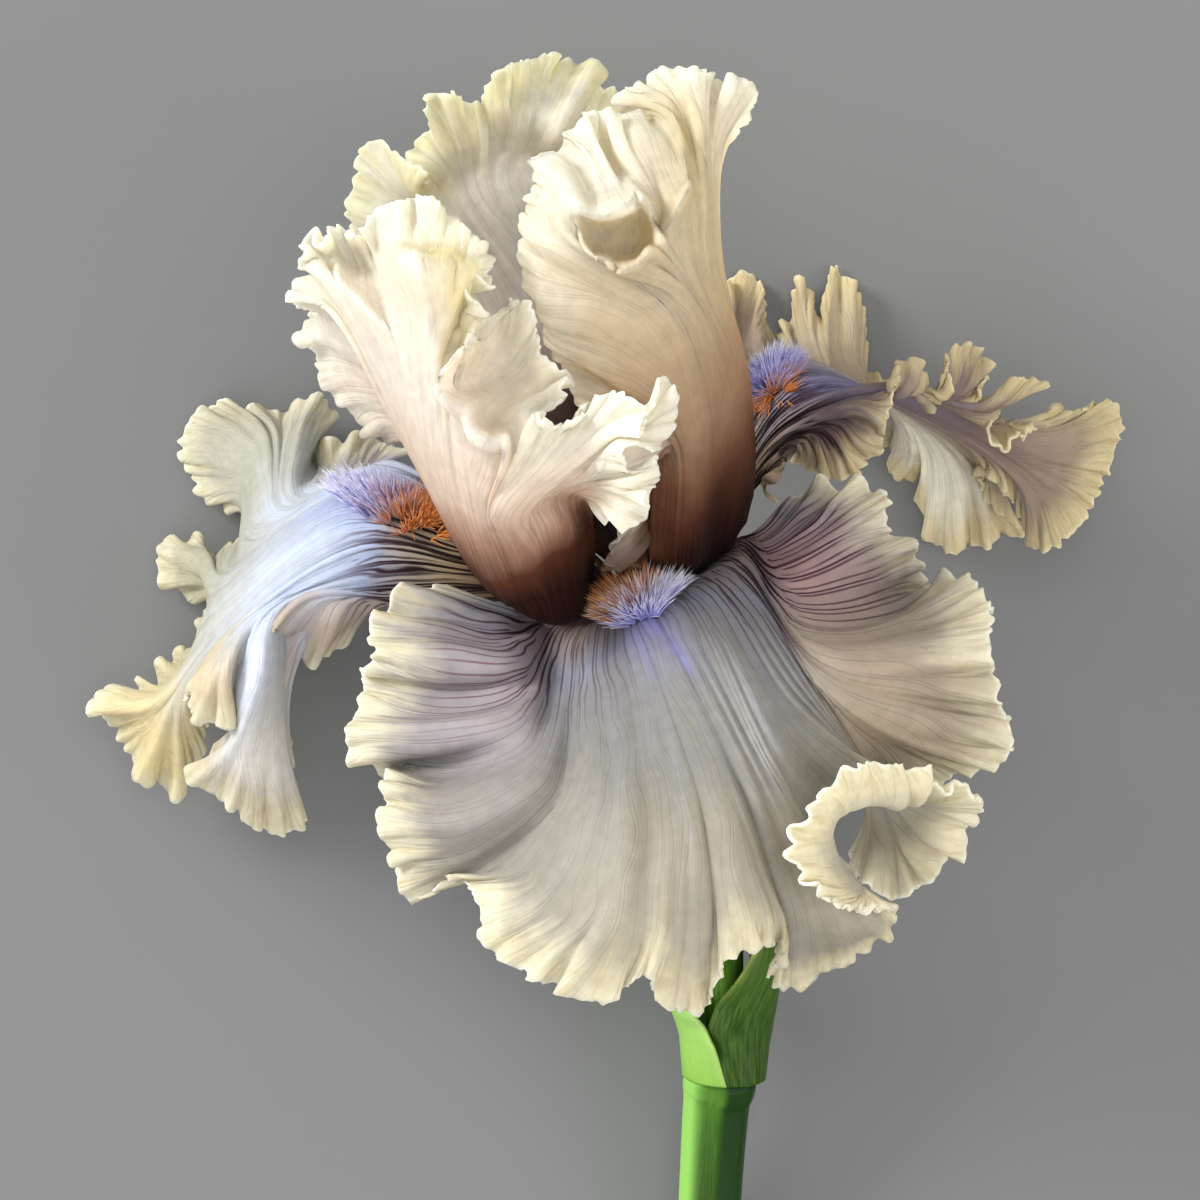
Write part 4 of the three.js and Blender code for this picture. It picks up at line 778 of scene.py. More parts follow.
class Shade:
    """A material under construction."""

    def __init__(self, name: str) -> None:
        """Starts an empty material of that name."""
        self.material = bpy.data.materials.new(name)
        self.material.use_nodes = True
        self.tree = self.material.node_tree
        self.tree.nodes.clear()

    def add(
        self, kind: Kind, *values: Feed, named: Inputs | None = None, stops: Stops = (), **settings: str
    ) -> Socket | None:
        """Adds a node with its settings and links.

        Args:
            kind: which node.
            values: what feeds its inputs in order: a socket, a number or a colour's hex code.
            named: what feeds other inputs, by name.
            stops: the colours along its ramp, each with its position from 0 to 1.
            settings: more of the node's own properties.

        Returns:
            its output, where it has one.
        """
        type_name, own, places, output = kind.value
        node = self.tree.nodes.new("ShaderNode" + type_name)
        for name, value in {**own, **settings}.items():
            setattr(node, name, value)
        for place, value in (*zip(places, values), *(named or {}).items()):
            if isinstance(value, Socket):
                self.tree.links.new(value, node.inputs[place])
            else:
                node.inputs[place].default_value = colour(value) if isinstance(value, str) else value
        for i, (position, code) in enumerate(stops):
            elements = node.color_ramp.elements
            element = elements[i] if i < len(elements) else elements.new(position)
            element.position, element.color = position, colour(code)
        return node.outputs[output] if node.outputs else None

    def strands(
        self, across: Feed, along: Feed, cells: tuple[float, float], detail: int, scale: float = 1.0
    ) -> Socket:
        """Adds noise that is drawn out along a piece.

        Args:
            across: each point's place across the piece.
            along: its place along it.
            cells: how many cells a step of 1 has each way.
            detail: how many finer layers it has.
            scale: of all its cells.

        Returns:
            the noise, about 0.5.
        """
        drawn = [self.add(Kind.TIMES, place, count) for place, count in zip((across, along), cells)]
        return self.add(Kind.NOISE, self.add(Kind.XYZ, *drawn), scale, detail)

    def finish(self, surface: Socket) -> bpy.types.Material:
        """Connects the surface and returns the material."""
        self.add(Kind.OUTPUT, surface)
        return self.material


@dataclass(frozen=True)
class Patch:
    """A soft-edged patch on a tepal, placed by share across it and share along it."""

    across: float
    along: float
    width: float
    length: float
    strength: float
    tint: str = ""

    def mask(self, shade: Shade, across: Feed, along: Feed) -> Socket:
        """Adds the patch to a material.

        Args:
            shade: the material.
            across: each point's share across the tepal.
            along: each point's share along it.

        Returns:
            how strongly it shows at each point.
        """
        a = shade.add(Kind.OVER, shade.add(Kind.MINUS, across, self.across), self.width)
        b = shade.add(Kind.OVER, shade.add(Kind.MINUS, along, self.along), self.length)
        far = shade.add(Kind.PLUS, shade.add(Kind.TIMES, a, a), shade.add(Kind.TIMES, b, b))
        fading = shade.add(Kind.EXPONENT, shade.add(Kind.TIMES, far, -1.0))
        return shade.add(Kind.TIMES, fading, self.strength)


@dataclass(frozen=True)
class Veins:
    """Branching veins, strong as far as the first distance of the fade and faint beyond the second.

    Each count of lines for the whole fan sets in where the lines of the count before it are split apart.
    """

    counts: tuple[int, ...]
    colours: Stops
    near: float
    far: float
    fade: tuple[float, float]
    width: tuple[float, float] = (0.3, 0.17)
    patches: tuple[Patch, ...] = ()
    split: tuple[float, float] = (1.0, 1.8)
    later: float = 0.85  # strength of the lines that set in between others
    most: float = 0.98
    sway: float = 1.1
    shift: float = 0.37  # from one count's lines to the next one's, in gaps
    core: float = 0.25  # share of a line's half width that is at full strength

    def lines(self, shade: Shade, fan: Feed, reach: Feed, sway: Feed) -> Socket:
        """Draws the lines, each with an even width in mm.

        Args:
            shade: the material.
            fan: each point's share of the fan.
            reach: its distance from the base in mm.
            sway: how far lines bend there, in gaps of the first count.

        Returns:
            1 on the lines and 0 off them.
        """
        add = shade.add
        spread = add(Kind.FIELD, attribute_name="spread")
        half = add(Kind.EASE, reach, *self.fade, *self.width)
        drawn = None
        for level, count in enumerate(self.counts):
            place = add(Kind.TIMES_PLUS, sway, self.sway * 2**level, add(Kind.TIMES, fan, float(count)))
            place = add(Kind.PLUS, place, self.shift * level)
            off = add(Kind.TIMES, add(Kind.TO_AND_FRO, place, 0.5), add(Kind.OVER, spread, float(count)))
            line = add(Kind.EASE, off, add(Kind.TIMES, half, self.core), half, 1.0, 0.0)
            if level:
                gap = add(Kind.OVER, spread, float(self.counts[level - 1]))
                line = add(Kind.TIMES, line, add(Kind.EASE, gap, *self.split, 0.0, self.later))
            drawn = line if drawn is None else add(Kind.LARGER, drawn, line)
        return drawn

    def drawn(self, shade: Shade, across: Feed, along: Feed) -> tuple[Socket, Socket]:
        """Adds the veins to a material.

        Args:
            shade: the material.
            across: each point's share across the tepal.
            along: each point's share along it.

        Returns:
            how much vein colour shows at each point, and the veins' relief.
        """
        add = shade.add
        fan, reach = (add(Kind.FIELD, attribute_name=name) for name in ("fan", "reach"))
        slow = add(Kind.MINUS, shade.strands(fan, reach, BEND, 1), 0.5)
        quick = add(Kind.MINUS, shade.strands(fan, reach, WANDER, 0), 0.5)
        lines = self.lines(shade, fan, reach, add(Kind.TIMES_PLUS, quick, 0.4, slow))
        shown = add(Kind.EASE, reach, *self.fade, self.near, self.far)
        for patch in self.patches:
            shown = add(Kind.PLUS, patch.mask(shade, across, along), shown)
        uneven = add(Kind.EASE, shade.strands(fan, reach, BEND, 2, 0.9), 0.3, 0.65, 0.8, 1.0)
        strength = add(Kind.SMALLER, add(Kind.TIMES, shown, uneven), self.most)
        return add(Kind.TIMES, lines, strength), lines


@dataclass(frozen=True)
class PetalTissue:
    """Thin living petal tissue: its ground colour by mm from the base, its veins and its pale border."""

    name: str
    ground: Stops
    border: str
    # the colour of the painted highlight along the cut edge
    rim_highlight: str
    border_mm: float
    veins: Veins
    patches: tuple[Patch, ...] = ()
    # tint of the grain streaks, and of the painted shade in the valleys of the margin's pleats
    streak_and_crease_shade: str = "#D8CBA8"
    edging: float = 0.8
    streaks: float = 0.4
    glow: float = 0.42
    pleats: float = 1.0

    def material(self) -> bpy.types.Material:
        """Makes the material, whose scales are in mm of the real flower.

        Returns:
            the material.
        """
        shade = Shade(self.name)
        add = shade.add
        names = ("share", "along", "inward", "reach", "fan", "edge")
        share, along, inward, reach, fan, edge = (add(Kind.FIELD, attribute_name=name) for name in names)
        place = add(Kind.PLACE)
        wobble = add(Kind.MINUS, add(Kind.NOISE, place, BLOTCH, 3), 0.5)
        across = add(Kind.TIMES_PLUS, wobble, UNEVEN_ACROSS, share)
        outward = add(Kind.TIMES_PLUS, wobble, UNEVEN_ALONG, along)
        ground = add(Kind.OVER, add(Kind.TIMES_PLUS, wobble, UNEVEN_MM, reach), REACH_SPAN)
        base = add(Kind.STOPS, ground, stops=by_share(self.ground))
        streak = add(Kind.EASE, shade.strands(fan, reach, GRAIN, 3), 0.3, 0.7, self.streaks, 0.0)
        base = add(Kind.MIX, streak, base, add(Kind.TINT, 1.0, base, self.streak_and_crease_shade))
        for patch in self.patches:
            base = add(Kind.MIX, patch.mask(shade, across, outward), base, patch.tint)
        vein, relief = self.veins.drawn(shade, across, outward)
        inks = add(Kind.STOPS, add(Kind.OVER, reach, REACH_SPAN), stops=by_share(self.veins.colours))
        base = add(Kind.MIX, vein, base, inks)
        pleat = shade.strands(edge, inward, PLEAT, 3)
        base = self.margin(shade, base, wobble, pleat)
        near = add(Kind.EASE, inward, 0.0, PLEATED_TO, 1.0, 0.0)
        # painted shade darkening the valleys of the pleats near the margin
        painted_crease_shade = add(Kind.TIMES, add(Kind.EASE, pleat, 0.5, 0.34, 0.0, 0.5 * self.pleats), near)
        base = add(Kind.MIX, painted_crease_shade, base, add(Kind.TINT, 1.0, base, self.streak_and_crease_shade))
        mottle = add(Kind.EASE, add(Kind.NOISE, place, MOTTLE, 4), 0.3, 0.7, 0.94, 1.04)
        base = add(Kind.TINT, 1.0, base, add(Kind.GREY, mottle, mottle, mottle))
        height = add(Kind.TIMES, add(Kind.TIMES, pleat, near), PLEAT_RELIEF * self.pleats)
        height = add(Kind.TIMES_PLUS, add(Kind.NOISE, place, SATIN, 2), SATIN_RELIEF, height)
        height = add(Kind.TIMES_PLUS, shade.strands(fan, along, FIBRE, 3), FIBRE_RELIEF, height)
        height = add(Kind.TIMES_PLUS, relief, VEIN_RELIEF, height)
        return self.tissue(shade, base, height)

    def margin(self, shade: Shade, base: Feed, wobble: Feed, pleat: Feed) -> Socket:
        """Adds the ragged pale border and a thin painted highlight along the cut edge.

        Args:
            shade: the material.
            base: the colour so far.
            wobble: blotches about 0.
            pleat: the fluting, about 0.5.

        Returns:
            the colour with both.
        """
        add = shade.add
        inward, reach = (add(Kind.FIELD, attribute_name=name) for name in ("inward", "reach"))
        ragged = add(Kind.TIMES_PLUS, wobble, 1.6 * self.border_mm, inward)
        ragged = add(Kind.TIMES_PLUS, add(Kind.MINUS, pleat, 0.5), 1.4 * self.border_mm, ragged)
        past_claw = add(Kind.EASE, reach, *CLAW_BARE)
        border = add(Kind.TIMES, add(Kind.EASE, ragged, 0.0, self.border_mm, self.edging, 0.0), past_claw)
        base = add(Kind.MIX, border, base, self.border)
        # a thin painted highlight where the cut edge would catch the light
        rim_highlight = add(Kind.TIMES, add(Kind.EASE, inward, 0.0, RIM_HIGHLIGHT_TO, RIM_HIGHLIGHT_STRENGTH, 0.0), past_claw)
        return add(Kind.MIX, rim_highlight, base, self.rim_highlight)

    def tissue(self, shade: Shade, base: Feed, height: Feed) -> bpy.types.Material:
        """Finishes the material as a thin satin sheet that light shines through.

        Args:
            shade: the material.
            base: its colour.
            height: its relief.

        Returns:
            the material.
        """
        bump = shade.add(Kind.BUMP, height, BUMP_STRENGTH, BUMP_DEPTH)
        gloss = {"Specular IOR Level": 0.2, "Sheen Weight": 0.04, "Sheen Roughness": 0.4, "Normal": bump}
        skin = shade.add(Kind.SKIN, base, 0.55, named=gloss)
        through = shade.add(Kind.THROUGH, shade.add(Kind.WARM, base, 1.04), bump)
        return shade.finish(shade.add(Kind.LAYERS, self.glow, skin, through))


@dataclass(frozen=True)
class GreenTissue:
    """Smooth waxy stem or bract tissue with fine ribs, its ground colour by share of its length."""

    name: str
    ground: Stops
    ribs: int
    papery: str = ""
    roughness: float = 0.38
    # painted light: the colour of the flank towards the key light
    painted_lit_flank: str = ""
    # painted shade: the colour of the opposite flank
    painted_shade_flank: str = ""
    pale: float = 0.2
    pith: str = ""
    bloom: str = "#A9CF6C"
    strand_cells: float = 3.0  # across each rib
    length_cells: float = 9.0

    def material(self) -> bpy.types.Material:
        """Makes the material.

        Returns:
            the material.
        """
        shade = Shade(self.name)
        add = shade.add
        place = add(Kind.PLACE)
        around, reach = (add(Kind.FIELD, attribute_name=name) for name in ("share", "along"))
        uneven = add(Kind.TIMES_PLUS, add(Kind.NOISE, place, 0.12 / MM, 3), 0.12, reach)
        base = add(Kind.STOPS, uneven, stops=self.ground)
        fibre = shade.strands(around, reach, (self.strand_cells * self.ribs, self.length_cells), 3)
        base = add(Kind.MIX, add(Kind.EASE, fibre, 0.35, 0.75, 0.0, self.pale), base, self.bloom)
        # painted light down one flank and painted shade down the other
        if self.painted_lit_flank:
            base = add(Kind.MIX, add(Kind.EASE, around, 0.6, 0.8), base, self.painted_lit_flank)
            base = add(Kind.MIX, add(Kind.EASE, around, 0.5, 0.4), base, self.painted_shade_flank)
        if self.pith:
            cut = add(Kind.FIELD, attribute_name="cut")
            base = add(Kind.MIX, add(Kind.EASE, cut, 0.1, 0.5), base, self.pith)
        if self.papery:
            inward = add(Kind.FIELD, attribute_name="inward")
            dry = add(Kind.TIMES_PLUS, add(Kind.NOISE, place, MOTTLE, 3), 1.6, inward)
            high = add(Kind.EASE, reach, 0.35, 0.7, 0.15, 1.0)
            dry = add(Kind.TIMES, add(Kind.EASE, dry, 0.5, 2.2, 1.0, 0.0), high)
            base = add(Kind.MIX, dry, base, self.papery)
        rib = add(Kind.TO_AND_FRO, add(Kind.TIMES, around, float(self.ribs)), 0.5)
        height = add(Kind.TIMES_PLUS, add(Kind.SOFT_SMALLER, rib, 0.3, 0.2), 0.8, fibre)
        bump = add(Kind.BUMP, height, 0.35, BUMP_DEPTH)
        flesh = {
            "Specular IOR Level": 0.15,
            "Subsurface Weight": 0.25,
            "Subsurface Radius": (0.6, 1.0, 0.3),
            "Subsurface Scale": 1.2 * MM,
            "Normal": bump,
        }
        return shade.finish(add(Kind.SKIN, base, self.roughness, named=flesh))


@dataclass(frozen=True)
class HairFinish:
    """Soft translucent hairs, whose colour changes at a share of the way from the throat outwards."""

    name: str
    inner: str
    outer: str
    tips: str
    change: float
    blend: float = 0.18

    def material(self) -> bpy.types.Material:
        """Makes the material.

        Returns:
            the material.
        """
        shade = Shade(self.name)
        add = shade.add
        reach, tip = (add(Kind.FIELD, attribute_name=name) for name in ("reach", "tip"))
        outer = add(Kind.EASE, reach, self.change - self.blend, self.change + self.blend)
        ground = add(Kind.MIX, outer, self.inner, self.outer)
        white = add(Kind.TIMES, add(Kind.EASE, tip, 0.45, 1.0), add(Kind.EASE, reach, 0.3, 0.8, 0.05, 0.8))
        pale = add(Kind.MIX, white, ground, self.tips)
        skin = add(Kind.SKIN, pale, 0.6, named={"Sheen Weight": 0.2})
        return shade.finish(add(Kind.LAYERS, 0.45, skin, add(Kind.THROUGH, pale)))


# ---- Meshes ----


def store(mesh: bpy.types.Mesh, fields: dict[str, np.ndarray]) -> None:
    """Stores numbers at a mesh's points.

    Args:
        mesh: the mesh.
        fields: one array per name, in the order of the mesh's points.
    """
    for name, values in fields.items():
        attribute = mesh.attributes.new(name, "FLOAT", "POINT")
        attribute.data.foreach_set("value", np.asarray(values, np.float32).ravel())


def placed(obj: bpy.types.Object, points: np.ndarray) -> None:
    """Moves a mesh's points to (n, 3) places in mm."""
    obj.data.vertices.foreach_set("co", (np.asarray(points) * MM).astype(np.float32).ravel())
    obj.data.update()


def rest_places(obj: bpy.types.Object) -> np.ndarray:
    """The (n, 3) places of a primitive's points."""
    places = np.zeros(3 * len(obj.data.vertices), np.float32)
    obj.data.vertices.foreach_get("co", places)
    return places.reshape(-1, 3)


def ball(segments: int, rings: int, name: str = "") -> bpy.types.Object:
    """Adds a round primitive of radius 1.

    Args:
        segments: how many points go round it.
        rings: how many steps go from pole to pole.
        name: its name, where it is kept.

    Returns:
        the object, alone selected.
    """
    bpy.ops.object.select_all(action="DESELECT")
    bpy.ops.mesh.primitive_uv_sphere_add(segments=segments, ring_count=rings, radius=1)
    obj = bpy.context.active_object
    if name:
        obj.name = obj.data.name = name
    return obj


def grid_object(name: str, sheet: Sheet) -> bpy.types.Object:
    """Lays a grid primitive onto a sheet's points.

    Args:
        name: the object's name.
        sheet: the surface.

    Returns:
        the object, with the sheet's fields at its points.
    """
    wide, long = sheet.points.shape[:2]
    bpy.ops.object.select_all(action="DESELECT")
    bpy.ops.mesh.primitive_grid_add(x_subdivisions=wide - 1, y_subdivisions=long - 1, size=1, calc_uvs=True)
    obj = bpy.context.active_object
    obj.name = obj.data.name = name
    places = rest_places(obj)
    i = np.rint((places[:, 0] + 0.5) * (wide - 1)).astype(int)
    j = np.rint((places[:, 1] + 0.5) * (long - 1)).astype(int)
    placed(obj, sheet.points[i, j])
    store(obj.data, {key: values[i, j] for key, values in sheet.fields.items()})
    return obj


def thicken(obj: bpy.types.Object, thickness: float) -> None:
    """Closes a grid into a solid of an even thickness about its surface.

    Args:
        obj: the grid.
        thickness: in mm.
    """
    bpy.ops.object.modifier_add(type="SOLIDIFY")
    solidify = obj.modifiers[-1]
    solidify.thickness = thickness * MM
    solidify.offset = 0
    solidify.use_rim = True
    bpy.ops.object.modifier_apply(modifier=solidify.name)
    bpy.ops.object.shade_smooth()


def dress(obj: bpy.types.Object, node: str, slot: str, material: bpy.types.Material) -> None:
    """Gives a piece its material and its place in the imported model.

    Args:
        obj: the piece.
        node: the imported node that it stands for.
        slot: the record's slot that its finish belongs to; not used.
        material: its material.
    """
    obj.data.materials.append(material)
    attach(obj, "root")
    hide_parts(node)
    LOG.info("%s: %d faces", obj.name, len(obj.data.polygons))


# ---- Pieces ----


@dataclass(frozen=True)
class Tepal:
    """One fall or standard: its net, its ruffles, and how many points go across and along it."""

    name: str
    net: Net
    slot: str
    ruffles: tuple[Ruffle, ...]
    finish: PetalTissue
    across: int
    along: int

    def lines(self, along: np.ndarray) -> np.ndarray:
        """The traced rays, from the claw to the margin.

        Args:
            along: (m,) shares of each ray's length.

        Returns:
            (rays, m, 3) points.
        """
        net = self.net
        claw = [
            np.array([on_flower(net.azimuth + net.sweep * turn, r, h) for turn, r, h in row])
            for row in net.claw
        ]
        inner = claw + [sight(row) for row in net.rows]
        made = []
        for i, ray in enumerate(net.rays):
            share = [i / (len(net.rays) - 1)]
            crossed = np.concatenate([spline(row, share) for row in inner])
            made.append(spaced(np.concatenate([crossed, sight(ray)]), along))
        return np.array(made)

    def sheet(self, origin: np.ndarray) -> Sheet:
        """The ruffled surface.

        Args:
            origin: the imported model's origin, in mm from the middle of the picture.

        Returns:
            the surface, in mm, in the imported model's frame.
        """
        step = np.linspace(0, 1, self.along)
        along = step * (1 + MARGIN_FINER - MARGIN_FINER * step)
        lines = self.lines(along)
        fine = np.linspace(0, 1, MARGIN_STEPS)
        edge = lengths(spline(lines[:, -1], fine))
        shares = np.interp(np.linspace(0, edge[-1], self.across), edge, fine)
        grid = spline(lines, shares) - origin
        margin = lengths(grid[:, -1])[:, None]
        run = lengths(grid.transpose(1, 0, 2)).T
        inward = run[:, -1:] - run
        middle = lengths(grid[:, self.along * 2 // 5])
        fan = middle / middle[-1]
        outward = np.gradient(grid, axis=1)
        outward /= np.maximum(np.linalg.norm(outward, axis=-1, keepdims=True), 1e-9)
        spread = np.linalg.norm(np.cross(np.gradient(grid, fan, axis=0), outward), axis=-1)
        for ruffle in self.ruffles:
            lift = ruffle.lift(margin, inward)[..., None]
            grid = grid + lift * (normals(grid) if ruffle.way is Way.SIDEWAYS else outward)
        above = (grid[..., 2] - FLOOR_CLEARANCE) / FLOOR_SOFTNESS
        grid[..., 2] = FLOOR_CLEARANCE + FLOOR_SOFTNESS * np.logaddexp(0, above)
        full = np.ones_like(run)
        away = grid + origin - HEART
        fields = {
            "reach": away @ UP if self.slot == "standard" else np.linalg.norm(away, axis=-1),
            "share": shares[:, None] * full,
            "fan": fan[:, None] * full,
            "spread": spread,
            "along": along[None, :] * full,
            "inward": inward,
            "edge": margin * full,
        }
        if self.net.sweep > 0:
            grid = grid[::-1]
            fields = {name: values[::-1] for name, values in fields.items()}
        return Sheet(grid, fields)

    def build(self, origin: np.ndarray) -> Sheet:
        """Builds the tepal.

        Args:
            origin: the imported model's origin, in mm from the middle of the picture.

        Returns:
            its surface.
        """
        sheet = self.sheet(origin)
        obj = grid_object(self.name + "_petal", sheet)
        thicken(obj, TEPAL_THICKNESS)
        dress(obj, self.name, self.slot, self.finish.material())
        return sheet


def rooted(sheet: Sheet, origin: np.ndarray, pixels: np.ndarray) -> tuple[np.ndarray, np.ndarray]:
    """The uppermost places on a sheet at some pixels.

    Args:
        sheet: the tepal's surface.
        origin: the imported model's origin, in mm from the middle of the picture.
        pixels: (n, 2) where, in the picture.

    Returns:
        the points and the unit normals on the side that is seen, each (n, 3).
    """
    at_least, beyond = 4.0, 1.0  # how far off a point may be, in pixels, and past the nearest one
    per_pixel = 0.3  # mm of height that a pixel off costs
    points = sheet.points.reshape(-1, 3)
    facing = normals(sheet.points).reshape(-1, 3)
    facing = facing * np.sign(facing[:, 2:])
    seen = points + origin
    scale = MM_PER_PIXEL * (1 - seen[:, 2] / EYE_HEIGHT)
    x, y = PICTURE / 2 + seen[:, 0] / scale, PICTURE / 2 - seen[:, 1] / scale
    found = []
    for pixel in pixels:
        far = np.hypot(x - pixel[0], y - pixel[1])
        near = np.flatnonzero(far < max(at_least, far.min() + beyond))
        found.append(near[np.argmax(points[near, 2] - per_pixel * far[near])])
    return points[found], facing[found]


@dataclass(frozen=True)
class Beard:
    """The brush of hairs along the middle of a fall's haft, over an oval of the picture.

    The oval has a middle and two half widths in pixels, and is turned by some degrees. Hairs lean along the
    picture's own directions, and their colour runs along the direction called inner, from 1 at the throat.
    """

    name: str
    middle: tuple[float, float]
    half: tuple[float, float]
    turn: float
    count: int
    finish: HairFinish
    seed: int
    length: float
    lean: tuple[float, float]
    inner: tuple[float, float]
    radius: float = 0.12
    stray: float = 0.16
    sides: int = 5
    rings: int = 6

    def hair(self) -> tuple[np.ndarray, list[tuple[int, ...]]]:
        """Models one hair on a round primitive.

        Returns:
            each point's turn about the hair and share along it, and the faces.
        """
        model = ball(self.sides, self.rings)
        places = rest_places(model)
        turn = np.arctan2(places[:, 1], places[:, 0])
        along = 1 - np.arccos(places[:, 2].clip(-1, 1)) / math.pi
        faces = [tuple(face.vertices) for face in model.data.polygons]
        mesh = model.data
        bpy.data.objects.remove(model)
        bpy.data.meshes.remove(mesh)
        return np.stack([turn, along], axis=1), faces

    def girth(self, along: np.ndarray) -> np.ndarray:
        """The radius of a hair at shares along it: full near its root, thinning to a closed tip."""
        girth = self.radius * np.sin(math.pi * along.clip(0.08, 1)) ** 0.4 * (1.15 - 0.75 * along)
        return np.where((along < 0.01) | (along > 0.99), 0, girth)

    def build(self, sheet: Sheet, origin: np.ndarray, lift: float) -> None:
        """Roots the hairs in the fall.

        Args:
            sheet: the fall's surface.
            origin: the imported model's origin, in mm from the middle of the picture.
            lift: mm from its middle surface to where hairs start.
        """
        random = np.random.default_rng(self.seed)
        turn = random.uniform(0, 2 * math.pi, self.count)
        out = random.uniform(0, 1, self.count) ** 0.5
        c, s = math.cos(math.radians(self.turn)), math.sin(math.radians(self.turn))
        across, down = out * np.cos(turn), out * np.sin(turn)
        x, y = across * self.half[0], down * self.half[1]
        offset = np.stack([c * x - s * y, s * x + c * y], axis=1)
        root, up = rooted(sheet, origin, np.array(self.middle) + offset)
        aside = offset * (1, -1) / max(self.half)
        radial = np.concatenate([aside + np.array(self.lean), np.zeros((self.count, 1))], axis=1)
        tall = (self.length * (1 - 0.35 * out**2) * random.uniform(0.7, 1.15, self.count))[:, None]
        stray = random.normal(0, self.stray, (self.count, 3))
        start = 0.75 * up + 0.25 * FRONT + 0.8 * radial + stray
        start /= np.linalg.norm(start, axis=1, keepdims=True)
        bend = 1.2 * radial - 0.3 * up + 0.8 * stray
        uneven = random.normal(0, 0.08, self.count)
        reach = 0.5 - 0.5 * (across * self.inner[0] + down * self.inner[1]) + uneven
        a = np.cross(start, (0.3, 0.1, 0.9))
        a /= np.linalg.norm(a, axis=1, keepdims=True)
        b = np.cross(start, a)
        model, model_faces = self.hair()
        around, t = model[:, 0][None, :, None], model[:, 1][None, :, None]
        line = tall[:, None] * (start[:, None] * t + bend[:, None] * t**2 * 0.5)
        centre = root[:, None] + up[:, None] * lift + line
        girth = self.girth(model[:, 1])[None, :, None]
        points = centre + girth * (np.cos(around) * a[:, None] + np.sin(around) * b[:, None])
        size = len(model)
        faces = [tuple(v + k * size for v in face) for k in range(self.count) for face in model_faces]
        mesh = bpy.data.meshes.new(self.name)
        mesh.from_pydata((points.reshape(-1, 3) * MM).tolist(), [], faces)
        store(mesh, {"reach": np.repeat(reach, size), "tip": np.tile(model[:, 1], self.count)})
        obj = bpy.data.objects.new(self.name + "_hairs", mesh)
        bpy.context.collection.objects.link(obj)
        mesh.shade_smooth()
        dress(obj, self.name, "beard", self.finish.material())


def laid_grid(grid: np.ndarray, share: np.ndarray, along: np.ndarray) -> Sheet:
    """A sheet from a (n, m, 3) grid, with its places and its distance from the nearest free edge.

    Args:
        grid: the points in mm.
        share: (n,) places across.
        along: (m,) places along.

    Returns:
        the sheet.
    """
    run, cross = lengths(grid.transpose(1, 0, 2)).T, lengths(grid)
    inward = np.minimum(np.minimum(cross, cross[-1:] - cross), run[:, -1:] - run)
    full = np.ones(grid.shape[:2])
    fields = {
        "reach": run,
        "share": share[:, None] * full,
        "fan": share[:, None] * full,
        "spread": cross[-1:] * full,
        "along": along[None, :] * full,
        "inward": inward,
        "edge": run,
    }
    return Sheet(grid, fields)


@dataclass(frozen=True)
class StyleArm:
    """A petal-like style arm with a split crest, arching over a stamen. Sizes in mm."""

    name: str
    azimuth: float
    finish: PetalTissue
    rows: tuple[tuple[float, ...], ...] = STYLE_ROWS
    split: float = 2.4
    split_width: float = 0.22  # of half the arm's width
    frill: float = 0.35
    across: int = 41
    along: int = 60

    def build(self, origin: np.ndarray) -> None:
        """Builds the arm.

        Args:
            origin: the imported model's origin, in mm from the middle of the picture.
        """
        aside = on_flower(self.azimuth + 90, 1, 0) - HEART
        share, along = np.linspace(-1, 1, self.across), np.linspace(0, 1, self.along)
        line = np.array([on_flower(self.azimuth, row[0], row[1]) for row in self.rows])
        centre = spline(line, along)
        at = along * (len(self.rows) - 1)
        half, drop = (np.interp(at, np.arange(len(self.rows)), [row[k] for row in self.rows]) for k in (2, 3))
        s = share[:, None, None]
        grid = centre[None] + s * half[None, :, None] * aside - (s**2) * drop[None, :, None] * UP
        out = np.gradient(centre, axis=0)
        out /= np.linalg.norm(out, axis=1, keepdims=True)
        late = along[None, :, None] ** 6
        grid = grid - self.split * np.exp(-((s / self.split_width) ** 2)) * late * out[None]
        frill = wavy(share * 4 + self.azimuth, 1.1, 5)[:, None, None] * self.frill
        grid = grid + late * frill * (UP + out[None])
        obj = grid_object(self.name + "_petaloid", laid_grid(grid - origin, (share + 1) / 2, along))
        thicken(obj, STYLE_THICKNESS)
        dress(obj, self.name, "style_arm", self.finish.material())


def path_frame(line: np.ndarray) -> tuple[np.ndarray, np.ndarray, np.ndarray]:
    """The directions at each of a line's points.

    Args:
        line: (n, 3) points.

    Returns:
        unit vectors along it, to its side and to its top, each (n, 3).
    """
    along = np.gradient(line, axis=0)
    along /= np.linalg.norm(along, axis=1, keepdims=True)
    side = np.cross(along, (0, 0, 1))
    side /= np.linalg.norm(side, axis=1, keepdims=True)
    return along, side, np.cross(side, along)


